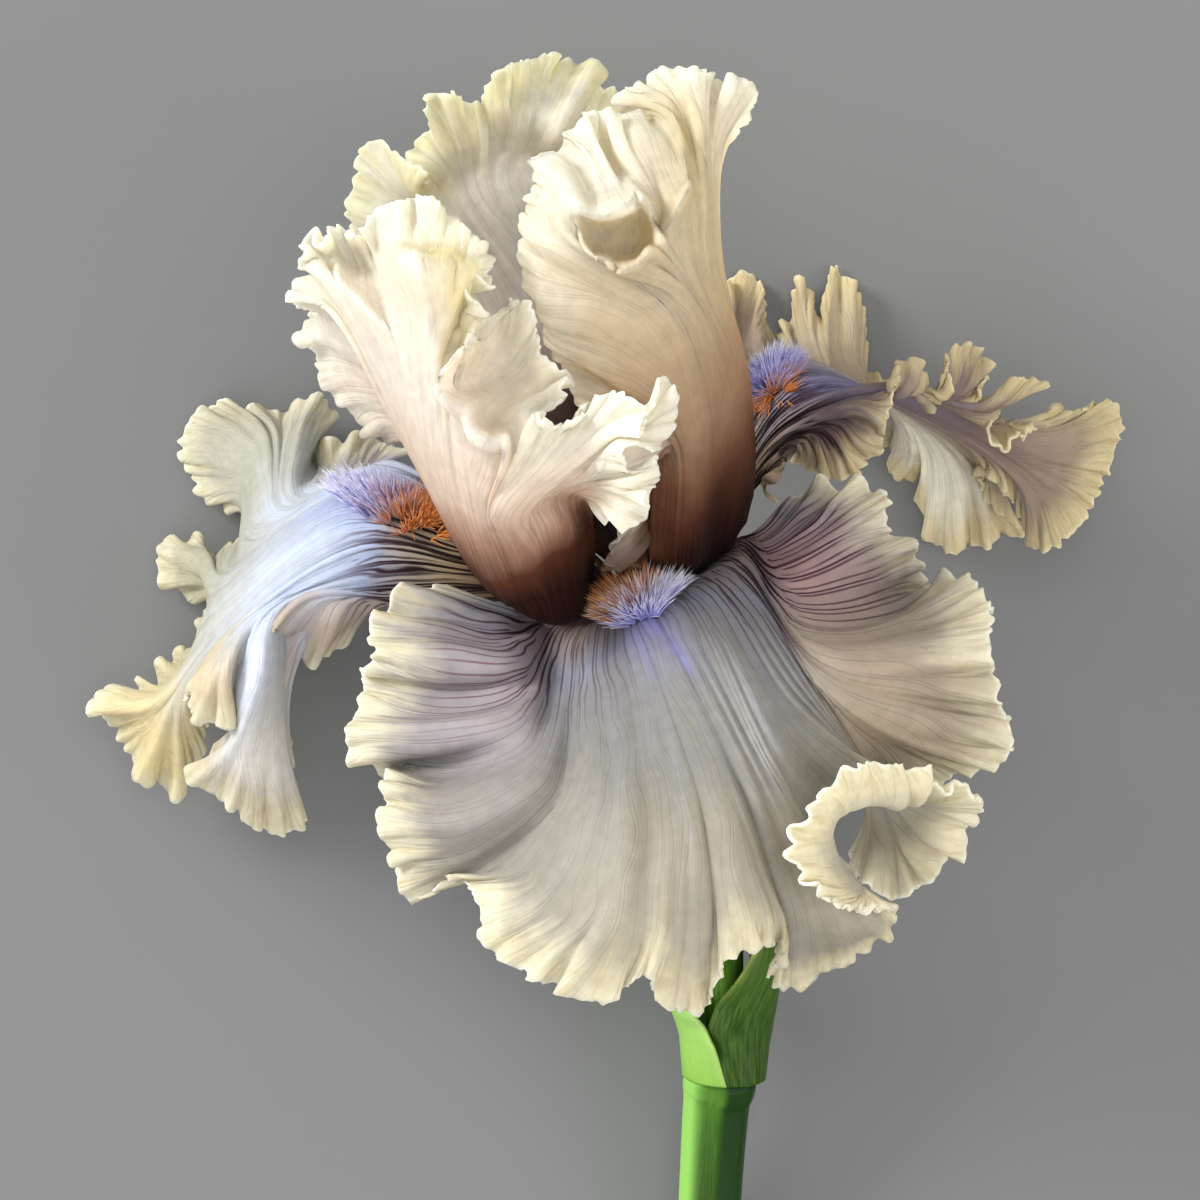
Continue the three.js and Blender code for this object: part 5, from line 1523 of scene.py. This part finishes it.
@dataclass(frozen=True)
class Stalk:
    """A round stalk, closed at both ends: (x, y, z, radius) points in mm along it."""

    name: str
    node: str
    slot: str
    points: tuple[tuple[float, ...], ...]
    material: bpy.types.Material
    sides: int = 64
    rings: int = 160
    corners: int = 0
    corner_at: float = 0.0  # degrees about it
    corner_share: float = 0.75  # how much of a true polygon's flats it takes
    round_ends: bool = False
    bevel: float = 0.35  # mm, at its ends where they aren't round
    core: float = 0.55  # share of the radius at which an end has a ring of points

    def girths(self, run: np.ndarray) -> np.ndarray:
        """The radius along it.

        Args:
            run: (n,) length along it in mm.

        Returns:
            (n,) the radius at each place, eased in at both ends.
        """
        rows = np.array(self.points)
        radius = np.interp(np.linspace(0, 1, self.rings) * (len(rows) - 1), np.arange(len(rows)), rows[:, 3])
        end = np.minimum(run, run[-1] - run)
        soft, depth = (radius.max(), 0.995) if self.round_ends else (self.bevel, 0.12)
        fall = np.clip(1 - end / soft, 0, 1)
        return radius * np.sqrt(1 - depth * fall**2)

    def flat(self, turn: np.ndarray) -> np.ndarray:
        """How far in or out its soft corners take the radius.

        Args:
            turn: angles about the stalk.

        Returns:
            a factor for each.
        """
        facet = 2 * math.pi / self.corners
        off = (turn - math.radians(self.corner_at)) % facet - facet / 2
        flat = math.cos(facet / 2) / np.cos(off)
        return (1 - self.corner_share * (1 - flat)) * 1.03

    def build(self) -> None:
        """Lays a round primitive onto the stalk's rings."""
        line = spline(np.array(self.points)[:, :3], np.linspace(0, 1, self.rings))
        run = lengths(line)
        _, side, top = path_frame(line)
        steps = self.rings + 3
        obj = ball(self.sides, steps, self.name)
        places = rest_places(obj)
        ring = np.rint(np.arccos(places[:, 2].clip(-1, 1)) / math.pi * steps).astype(int)
        turn = np.arctan2(places[:, 1], places[:, 0])
        index = (ring - 2).clip(0, self.rings - 1)
        inner = (ring == 1) | (ring == steps - 1)
        pole = (ring == 0) | (ring == steps)
        girth = self.girths(run)[index] * np.where(inner, self.core, 1) * np.where(pole, 0, 1)
        if self.corners:
            girth = girth * self.flat(turn)
        around = (girth * np.cos(turn))[:, None] * side[index]
        placed(obj, line[index] + around + (girth * np.sin(turn))[:, None] * top[index])
        fields = {
            "share": np.abs(turn) / math.pi,
            "along": run[index] / run[-1],
            "cut": np.where(pole, 1.0, np.where(inner, self.core, 0.0)),
        }
        store(obj.data, fields)
        bpy.ops.object.shade_smooth_by_angle(angle=math.radians(50))
        dress(obj, self.node, self.slot, self.material)


@dataclass(frozen=True)
class Valve:
    """A spathe valve wrapped part of the way round the stalk. Sizes in mm."""

    name: str
    rows: tuple[tuple[float, ...], ...]
    aside: float
    material: bpy.types.Material
    seed: int
    foot: float = 2.0  # that the stalk's line is carried on below its start
    wave: float = 0.35
    wavelength: float = 7.0
    length: float = 34.0
    across: int = 90
    along: int = 110

    def build(self, origin: np.ndarray) -> None:
        """Builds the valve.

        Args:
            origin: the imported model's origin, in mm from the middle of the picture.
        """
        fine = spline(sight([row[:3] for row in OVARY]), np.linspace(0, 1, 400))
        below = fine[0] - self.foot * (fine[1] - fine[0]) / np.linalg.norm(fine[1] - fine[0])
        fine = np.concatenate([below[None], fine])
        run = lengths(fine) - self.foot
        share, along = np.linspace(0, 1, self.across), np.linspace(0, 1, self.along)
        at = along * (len(self.rows) - 1)
        rise, radius, start, end = (
            np.interp(at, np.arange(len(self.rows)), [row[k] for row in self.rows]) for k in range(4)
        )
        _, sides, tops = path_frame(fine)
        centre, side, front = (
            np.stack([np.interp(rise, run, values[:, k]) for k in range(3)], axis=1)
            for values in (fine, sides, tops)
        )
        turn = np.radians(start[None, :] + share[:, None] * (end - start)[None, :])
        wave = wavy(along * self.length, self.wavelength, self.seed)[None, :]
        reach = radius[None, :] + self.wave * wave * np.abs(2 * share[:, None] - 1) ** 3
        outward = (self.aside + reach * np.sin(turn))[..., None] * side[None]
        grid = centre[None] + outward + (reach * np.cos(turn))[..., None] * front[None]
        obj = grid_object(self.name + "_bract", laid_grid(grid - origin, share, along))
        thicken(obj, BRACT_THICKNESS)
        dress(obj, self.name, "spathe", self.material)


# ---- Finishes ----

# Beside the throat the tissue is near black, partly its own stain and partly painted shade of the deep throat,
# and it clears outwards.
THROAT_STAIN_AND_SHADE = ((0, "#120303"), (10, "#1E0705"), (15, "#4A2C2A"))
# Maroon veins that pale to mauve and cream on the way to the margin.
DARK = ((0, "#100204"), (18, "#1E060C"), (27, "#401828"), (38, "#744C62"), (55, "#A092A0"), (80, "#CFC4B4"))
# Near-black veins on the narrow haft, gone soon after it.
HAFT = ((0, "#100204"), (33, "#1C040A"), (39, "#4A2A3A"), (47, "#9094C0"), (80, "#C0B4B4"))
# Faint warm veins in the standards.
BROWN = ((0, "#2A0A06"), (22, "#7A4030"), (36, "#C09078"), (80, "#E6D8BE"))

# Living petal tissue of a standard: thin, satin and glowing, cream with a brown foot and hardly a vein.
# The near-black of the foot is partly its own colour and partly painted shade of the throat.
STANDARD = PetalTissue(
    "iris standard tissue, left",
    (
        (8, "#180403"), (15, "#30100A"), (20, "#74442F"), (25, "#CEA890"), (31, "#F2E2D4"), (44, "#FCF7F0"),
        (80, "#FDFBF4"),
    ),
    "#FCFAF0", "#FFFFFA", 20,
    Veins((30, 60, 120), BROWN, 0.25, 0.07, (22, 44)),
    patches=(Patch(0.43, 0.95, 0.06, 0.14, 0.75, "#F2E8A8"),),
    streak_and_crease_shade="#F4EEE2", edging=0.95, streaks=0.2, glow=0.62, pleats=0.8,
)
# A shaded copy of the same tissue for the right standard, which is turned from the key light: tan much further
# up as painted shade.
STANDARD_PAINTED_SHADE = replace(
    STANDARD,
    name="iris standard tissue, right",
    ground=(
        (8, "#180403"), (15, "#30100A"), (20, "#5C3422"), (26, "#946A4E"), (33, "#C4A688"), (44, "#DCCAAC"),
        (58, "#F0E6D0"), (80, "#FCF9F0"),
    ),
    border_mm=12,
    patches=(
        # painted shade: a dark tongue at its foot
        Patch(0.02, 0.55, 0.08, 0.4, 0.9, "#7E523C"),
        # painted shade along its right edge
        Patch(0.66, 0.85, 0.13, 0.2, 0.6, "#DCD0A4"),
        Patch(0.42, 0.95, 0.14, 0.22, 0.95, "#FCFBF4"),
    ),
)
# The same tissue in the back standard: cooler at its foot, yellow at its margin, and it glows the most. Its
# near-black foot is partly painted shade of the throat, as in the other standards.
STANDARD_BACK_LIT = PetalTissue(
    "iris standard tissue, back",
    ((8, "#180403"), (18, "#4A2A28"), (26, "#CCBEBC"), (34, "#F2EEEC"), (56, "#FCFAF6"), (80, "#FCFBEE")),
    "#FAF7DC", "#FFFFF6", 13,
    Veins((30, 60, 120), ((0, "#8A6A70"), (80, "#D8CCC4")), 0.25, 0.08, (24, 50)),
    streak_and_crease_shade="#EEE8DC", glow=0.7,
)
# Living petal tissue of the front fall: grey lavender with a fan of maroon veins and a wide cream border. The
# grey of its middle is partly painted shade from the standards above, and some of its patches paint shade and a
# highlight.
FALL_FRONT_TISSUE = PetalTissue(
    "iris fall tissue, front",
    (
        # the grey middle stops are partly painted shade from the standards above
        *THROAT_STAIN_AND_SHADE, (18, "#B0A0A0"), (25, "#A2A2B6"), (34, "#98989E"), (48, "#9C9B9A"), (60, "#B4AFA4"),
        (74, "#DAD4C0"),
    ),
    "#F7F1D8", "#FFFEF4", 10,
    Veins(
        (40, 80, 160), DARK, 0.95, 0.2, (26, 46), (0.26, 0.13),
        patches=(
            Patch(0.06, 0.6, 0.05, 0.28, 0.45),
            Patch(0.93, 0.55, 0.09, 0.28, 0.45),
            Patch(0.36, 0.3, 0.17, 0.5, -0.55),
        ),
        split=(1.9, 2.6),
    ),
    patches=(
        Patch(0.05, 0.5, 0.045, 0.24, 0.75, "#C6AEBA"),
        # painted shade: grey for the shadows among the left lobe's white ruffles
        Patch(0.11, 0.76, 0.07, 0.2, 0.75, "#B4ACB0"),
        Patch(0.23, 0.75, 0.05, 0.25, 0.6, "#AEAAA2"),
        # a painted highlight along a fold
        Patch(0.46, 0.62, 0.07, 0.2, 0.25, "#F0EEF0"),
        Patch(0.74, 0.72, 0.05, 0.2, 0.7, "#F0E6D2"),
        Patch(0.94, 0.6, 0.06, 0.28, 0.8, "#B98C90"),
        # tan on the right lobe, partly painted shade
        Patch(0.82, 0.75, 0.1, 0.3, 0.6, "#D6C2A6"),
        Patch(0.5, 0.97, 0.25, 0.06, 0.6, "#EDE0AE"),
        Patch(0.58, 0.9, 0.09, 0.2, 0.7, "#FBF6E0"),
        Patch(0.366, 0.32, 0.014, 0.045, 0.45, "#8E8CE2"),
        Patch(0.35, 0.3, 0.05, 0.07, 0.6, "#9C9EDC"),
    ),
)
# Living petal tissue of the left fall: a pale blue blaze past a black-veined haft, tan and cream ribbons.
FALL_LEFT_TISSUE = PetalTissue(
    "iris fall tissue, left",
    (
        # the dark brown stop at 21 mm is partly painted shade on the haft
        *THROAT_STAIN_AND_SHADE, (21, "#70503E"), (28, "#CBB290"), (35, "#C8B8AA"), (40, "#C0CCEE"), (46, "#D2DEF6"),
        (56, "#DCE6F8"), (64, "#D4D6D8"), (80, "#E0D8B8"),
    ),
    "#EAE5CC", "#FEFCF0", 7,
    Veins((30, 60, 120, 240), HAFT, 1.2, 0.1, (34, 48), (0.38, 0.13), split=(1.5, 2.1)),
    patches=(
        Patch(0.66, 0.42, 0.2, 0.12, 0.5, "#A3ACEA"),
        Patch(0.02, 0.9, 0.045, 0.25, 0.9, "#D6BEA4"),
        Patch(0.09, 0.92, 0.03, 0.14, 0.8, "#C8AE9A"),
        Patch(0.25, 0.95, 0.05, 0.14, 0.8, "#DCC6A2"),
        Patch(0.15, 0.82, 0.035, 0.16, 0.9, "#FCF6F0"),
        Patch(0.15, 0.97, 0.03, 0.05, 0.7, "#D6C390"),
        Patch(0.38, 0.92, 0.12, 0.1, 0.8, "#F0E0AE"),
        Patch(0.97, 0.9, 0.05, 0.3, 0.7, "#9A8474"),
        Patch(0.72, 0.9, 0.2, 0.22, 0.9, "#B8B7AA"),
        Patch(0.56, 0.9, 0.08, 0.12, 0.8, "#BDBAA0"),
    ),
)
# Living petal tissue of the right fall: a violet haft, then dusty mauve and straw.
FALL_RIGHT_TISSUE = PetalTissue(
    "iris fall tissue, right",
    (
        *THROAT_STAIN_AND_SHADE, (20, "#5E4440"), (26, "#B8A28A"), (33, "#B4A8AC"), (39, "#A8A6C6"), (47, "#AE9C9C"),
        (56, "#B4A090"), (76, "#CCBE98"),
    ),
    "#E6D8AC", "#F6EED0", 7,
    Veins((30, 60, 120, 240), HAFT, 1.1, 0.22, (33, 47), (0.33, 0.15), split=(1.5, 2.1)),
    patches=(
        Patch(0.44, 0.52, 0.14, 0.18, 0.7, "#9496CE"),
        Patch(0.7, 0.85, 0.06, 0.3, 0.98, "#FFFDEC"),
        Patch(0.53, 0.8, 0.08, 0.26, 0.75, "#907A78"),
        Patch(0.09, 0.88, 0.08, 0.3, 0.85, "#6E5458"),
        Patch(0.26, 0.88, 0.14, 0.24, 0.8, "#7E6A64"),
        Patch(0.86, 0.75, 0.1, 0.2, 0.6, "#96826E"),
        Patch(0.86, 0.9, 0.06, 0.2, 0.6, "#E2D6B0"),
    ),
)
# Petal-like tissue deep in the throat, painted dark brown as painted shade of the throat around it.
ARM_TISSUE_PAINTED_SHADE = PetalTissue(
    "iris style arm tissue",
    ((0, "#1E0605"), (9, "#34120C"), (17, "#5E3628"), (25, "#86604C")),
    "#7E5844", "#9E7A64", 0.8,
    Veins((10, 20), ((0, "#2A0C08"), (30, "#8A6458")), 0.4, 0.3, (5, 20)),
)
# Fleshy stalk of a stamen, smooth and dull, painted dark brown as painted shade of the throat.
FILAMENT_PAINTED_SHADE = GreenTissue("iris filament flesh", ((0, "#3A2014"), (1, "#6A4C3A")), 4)
# Powdery pollen sacs with no gloss, painted dark brown as painted shade of the throat.
POLLEN_PAINTED_SHADE = GreenTissue("anther pollen", ((0, "#4E3626"), (1, "#6E5240")), 6, roughness=0.9)
# Waxy skin of the stem: green with a soft shine and a pale pith where it is cut. Its deep green ground is
# partly painted shade, one flank is painted light as if lit by the key, and the opposite flank is painted
# shade.
STEM_SKIN = GreenTissue(
    "iris stem skin",
    ((0, "#1C3A03"), (0.6, "#203F04"), (0.9, "#2C540A"), (1, "#3C6812")),
    24, painted_lit_flank="#80B254", painted_shade_flank="#0E3000", pale=0.06, pith="#D9E3B4",
)
# Waxy skin of the ovary and tube, which turns from green to straw towards the petals.
OVARY_SKIN = GreenTissue(
    "iris ovary skin", ((0, "#35610F"), (0.5, "#4F7A1A"), (0.85, "#8BA24C"), (1, "#B7B070")), 9
)
# The lower bract: fresh green with fine parallel veins, dried to a papery edge.
BRACT = GreenTissue(
    "iris spathe, lower",
    ((0, "#6E9A38"), (0.2, "#82AC50"), (0.7, "#90B864"), (0.9, "#D0D4AC"), (1, "#F2E6D6")),
    18, papery="#D3D9A8",
)
# The upper bract: a deeper green that is painted shade, its papery edge dulled as painted shade too.
BRACT_PAINTED_SHADE = GreenTissue(
    "iris spathe, upper",
    ((0, "#203A04"), (0.3, "#223C04"), (0.8, "#36560C"), (0.95, "#7E8A44"), (1, "#C9B08C")),
    18, papery="#7A8440", pale=0.1,
)
# Fine soft hairs: rust in the throat, violet-blue outside, paling to white at their tips.
HAIRS = HairFinish("iris beard hairs", "#E69A3C", "#B0B0EA", "#FFFFFF", 0.62)


# ---- The flower ----

BROAD = Ruffle(18, 0.9, 20, 21)
MEDIUM = Ruffle(6.5, 1.35, 8, 11)
FINE = Ruffle(2.6, 0.75, 3.4, 1)
JAG = Ruffle(1.9, 0.4, 1.6, 31, Way.OUTWARD)
SEED_STEP = 100  # between one tepal's ruffles and the next one's


def ruffles(number: int, scale: float = 1.0) -> tuple[Ruffle, ...]:
    """A tepal's own set of ruffles, by its number and how high they are."""
    own = (BROAD, MEDIUM, FINE, JAG)
    return tuple(replace(r, height=r.height * scale, seed=r.seed + SEED_STEP * number) for r in own)


TEPALS = (
    Tepal("fall_front", FALL_FRONT, "fall", ruffles(1), FALL_FRONT_TISSUE, 1300, 37),
    Tepal("fall_left", FALL_LEFT, "fall", ruffles(2), FALL_LEFT_TISSUE, 1100, 40),
    Tepal("fall_right", FALL_RIGHT, "fall", ruffles(3), FALL_RIGHT_TISSUE, 1100, 40),
    Tepal("standard_left", STANDARD_LEFT, "standard", ruffles(4, 0.8), STANDARD, 1200, 40),
    Tepal("standard_right", STANDARD_RIGHT, "standard", ruffles(5, 0.8), STANDARD_PAINTED_SHADE, 1200, 40),
    Tepal("standard_back", STANDARD_BACK, "standard", ruffles(6, 0.8), STANDARD_BACK_LIT, 900, 40),
)
LEFT_HAIRS, RIGHT_HAIRS = replace(HAIRS, change=0.46), replace(HAIRS, change=0.3)
BEARDS = (
    Beard("beard_front", (639, 609), (31, 12), -14, 1900, HAIRS, 41, 4.9, (-0.12, 0.5), (-0.6, -1.0)),
    Beard("beard_left", (396, 512), (54, 15), 20, 1300, LEFT_HAIRS, 42, 4.4, (-0.25, 0.45), (1.0, 0.2)),
    Beard("beard_right", (772, 385), (24, 16), -40, 1000, RIGHT_HAIRS, 43, 3.8, (0.15, 0.4), (-0.2, 0.9)),
)
HAIR_SINK = 0.1  # mm that hairs start below a fall's surface
# Where the style arms and stamens stand, in degrees about the axis from the front.
SIDES = (("front", -8.0), ("left", -113.0), ("right", 127.0))
FILAMENT_RADIUS = 0.5
ANTHER_RADIUS = 0.95


def packed_origin() -> np.ndarray:
    """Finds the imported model's origin by its stem, whose points are worked out here again.

    Returns:
        the origin, in mm from the middle of the picture at the heart's height.
    """
    sides, steps, near = 18, 16, 1e-4
    at = np.linspace(0, 1, steps + 1)
    path = sight([row[:3] for row in STEM])
    line = spline(path, at)
    along = spline(path, at + near) - spline(path, at - near)
    side = np.cross(along, (0, 0, 1))
    side /= np.linalg.norm(side, axis=1, keepdims=True)
    top = np.cross(side, along)
    top /= np.linalg.norm(top, axis=1, keepdims=True)
    radius = np.interp(at * (len(STEM) - 1), np.arange(len(STEM)), [row[3] for row in STEM])
    turn = np.linspace(0, 2 * math.pi, sides, endpoint=False)[None, :, None]
    around = np.cos(turn) * side[:, None] + np.sin(turn) * top[:, None]
    rings = (line[:, None] + radius[:, None, None] * around).reshape(-1, 3)
    low, high = (np.array(corner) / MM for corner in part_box("stem"))
    return ((rings.min(0) - low) + (rings.max(0) - high)) / 2


def on_path(rows: tuple[tuple[float, ...], ...], origin: np.ndarray) -> tuple[tuple[float, ...], ...]:
    """A stalk's traced (x, y, height, radius) rows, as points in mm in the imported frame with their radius."""
    return tuple((*(sight(row[:3]) - origin), row[3]) for row in rows)


def build_stamens(origin: np.ndarray) -> None:
    """Builds a filament and an anther under each style arm.

    Args:
        origin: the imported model's origin, in mm from the middle of the picture.
    """
    flesh, pollen = FILAMENT_PAINTED_SHADE.material(), POLLEN_PAINTED_SHADE.material()
    for side, azimuth in SIDES:
        for slot, rows, radius, material in (
            ("filament", FILAMENT, FILAMENT_RADIUS, flesh),
            ("anther", ANTHER, ANTHER_RADIUS, pollen),
        ):
            node = slot + "_" + side
            points = tuple((*(on_flower(azimuth, r, h) - origin), radius) for r, h in rows)
            Stalk(node + "_rod", node, slot, points, material, 20, 40, round_ends=True).build()


# ---- The studio ----


@dataclass(frozen=True)
class Lamp:
    """A square soft light aimed at the flower. Sizes in metres and watts."""

    name: str
    place: Point
    size: float
    power: float
    tint: str

    def build(self) -> None:
        """Adds the light."""
        data = bpy.data.lights.new(self.name, "AREA")
        data.size, data.energy = self.size, self.power
        data.color = colour(self.tint)[:3]
        lamp = bpy.data.objects.new(self.name, data)
        lamp.location = self.place
        lamp.rotation_euler = Vector(self.place).to_track_quat("Z", "Y").to_euler()
        bpy.context.scene.collection.objects.link(lamp)


@dataclass(frozen=True)
class Studio:
    """A pale floor, soft lights and the eye straight above."""

    lamps: tuple[Lamp, ...] = (
        Lamp("key", (-1.6, 0.95, 0.85), 0.8, 50.0, "#FFFEFA"),
        Lamp("top", (0.1, 0.1, 1.4), 0.8, 5.0, "#FFFFFF"),
        Lamp("right fill", (1.3, -0.4, 0.9), 1.0, 11.0, "#FFFAF4"),
        Lamp("left fill", (-0.9, -1.1, 0.9), 0.8, 5.0, "#F6F8FF"),
    )
    floor: str = "#6B6C6D"
    floor_size: float = 6.0  # metres
    sky: str = "#F4F4F2"
    sky_strength: float = 1.05
    lens: float = 150.0
    sensor: float = 36.0
    clip: float = 0.05  # metres

    def build(self, origin: np.ndarray) -> None:
        """Builds the stage.

        Args:
            origin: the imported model's origin, in mm from the middle of the picture.
        """
        bpy.ops.object.select_all(action="DESELECT")
        bpy.ops.mesh.primitive_plane_add(size=self.floor_size)
        floor = bpy.context.active_object
        floor.name = "floor"
        shade = Shade("pale matt paper")
        floor.data.materials.append(shade.finish(shade.add(Kind.SKIN, self.floor, 0.9)))
        for lamp in self.lamps:
            lamp.build()
        view = bpy.context.scene.view_settings
        view.view_transform, view.look = "Standard", "None"
        world = bpy.data.worlds.new("soft room")
        bpy.context.scene.world = world
        world.use_nodes = True
        sky = world.node_tree.nodes["Background"].inputs
        sky["Color"].default_value = colour(self.sky)
        sky["Strength"].default_value = self.sky_strength
        data = bpy.data.cameras.new("eye")
        data.lens, data.sensor_width, data.clip_start = self.lens, self.sensor, self.clip
        eye = bpy.data.objects.new("eye", data)
        eye.location = (np.array([0, 0, EYE_HEIGHT]) - origin) * MM
        bpy.context.scene.collection.objects.link(eye)
        bpy.context.scene.camera = eye


def main() -> None:
    """Builds the flower, the stage and the eye."""
    logging.basicConfig(level=logging.INFO, format="%(name)s: %(message)s")
    origin = packed_origin()
    LOG.info("origin %s", origin.round(3).tolist())
    sheets = {tepal.name: tepal.build(origin) for tepal in TEPALS}
    for beard in BEARDS:
        beard.build(sheets[beard.name.replace("beard", "fall")], origin, TEPAL_THICKNESS / 2 - HAIR_SINK)
    for side, azimuth in SIDES:
        StyleArm("style_arm_" + side, azimuth, ARM_TISSUE_PAINTED_SHADE).build(origin)
    build_stamens(origin)
    stem = STEM_SKIN.material()
    Stalk("stem_skin", "stem", "stem", on_path(STEM, origin), stem, corners=8, corner_at=78).build()
    Stalk("ovary_skin", "ovary", "ovary", on_path(OVARY, origin), OVARY_SKIN.material()).build()
    Valve("spathe_outer", SPATHE_OUTER, 0.0, BRACT.material(), 51).build(origin)
    Valve("spathe_inner", SPATHE_INNER, 1.1, BRACT_PAINTED_SHADE.material(), 52).build(origin)
    Studio().build(origin)


if __name__ == "__main__":
    main()
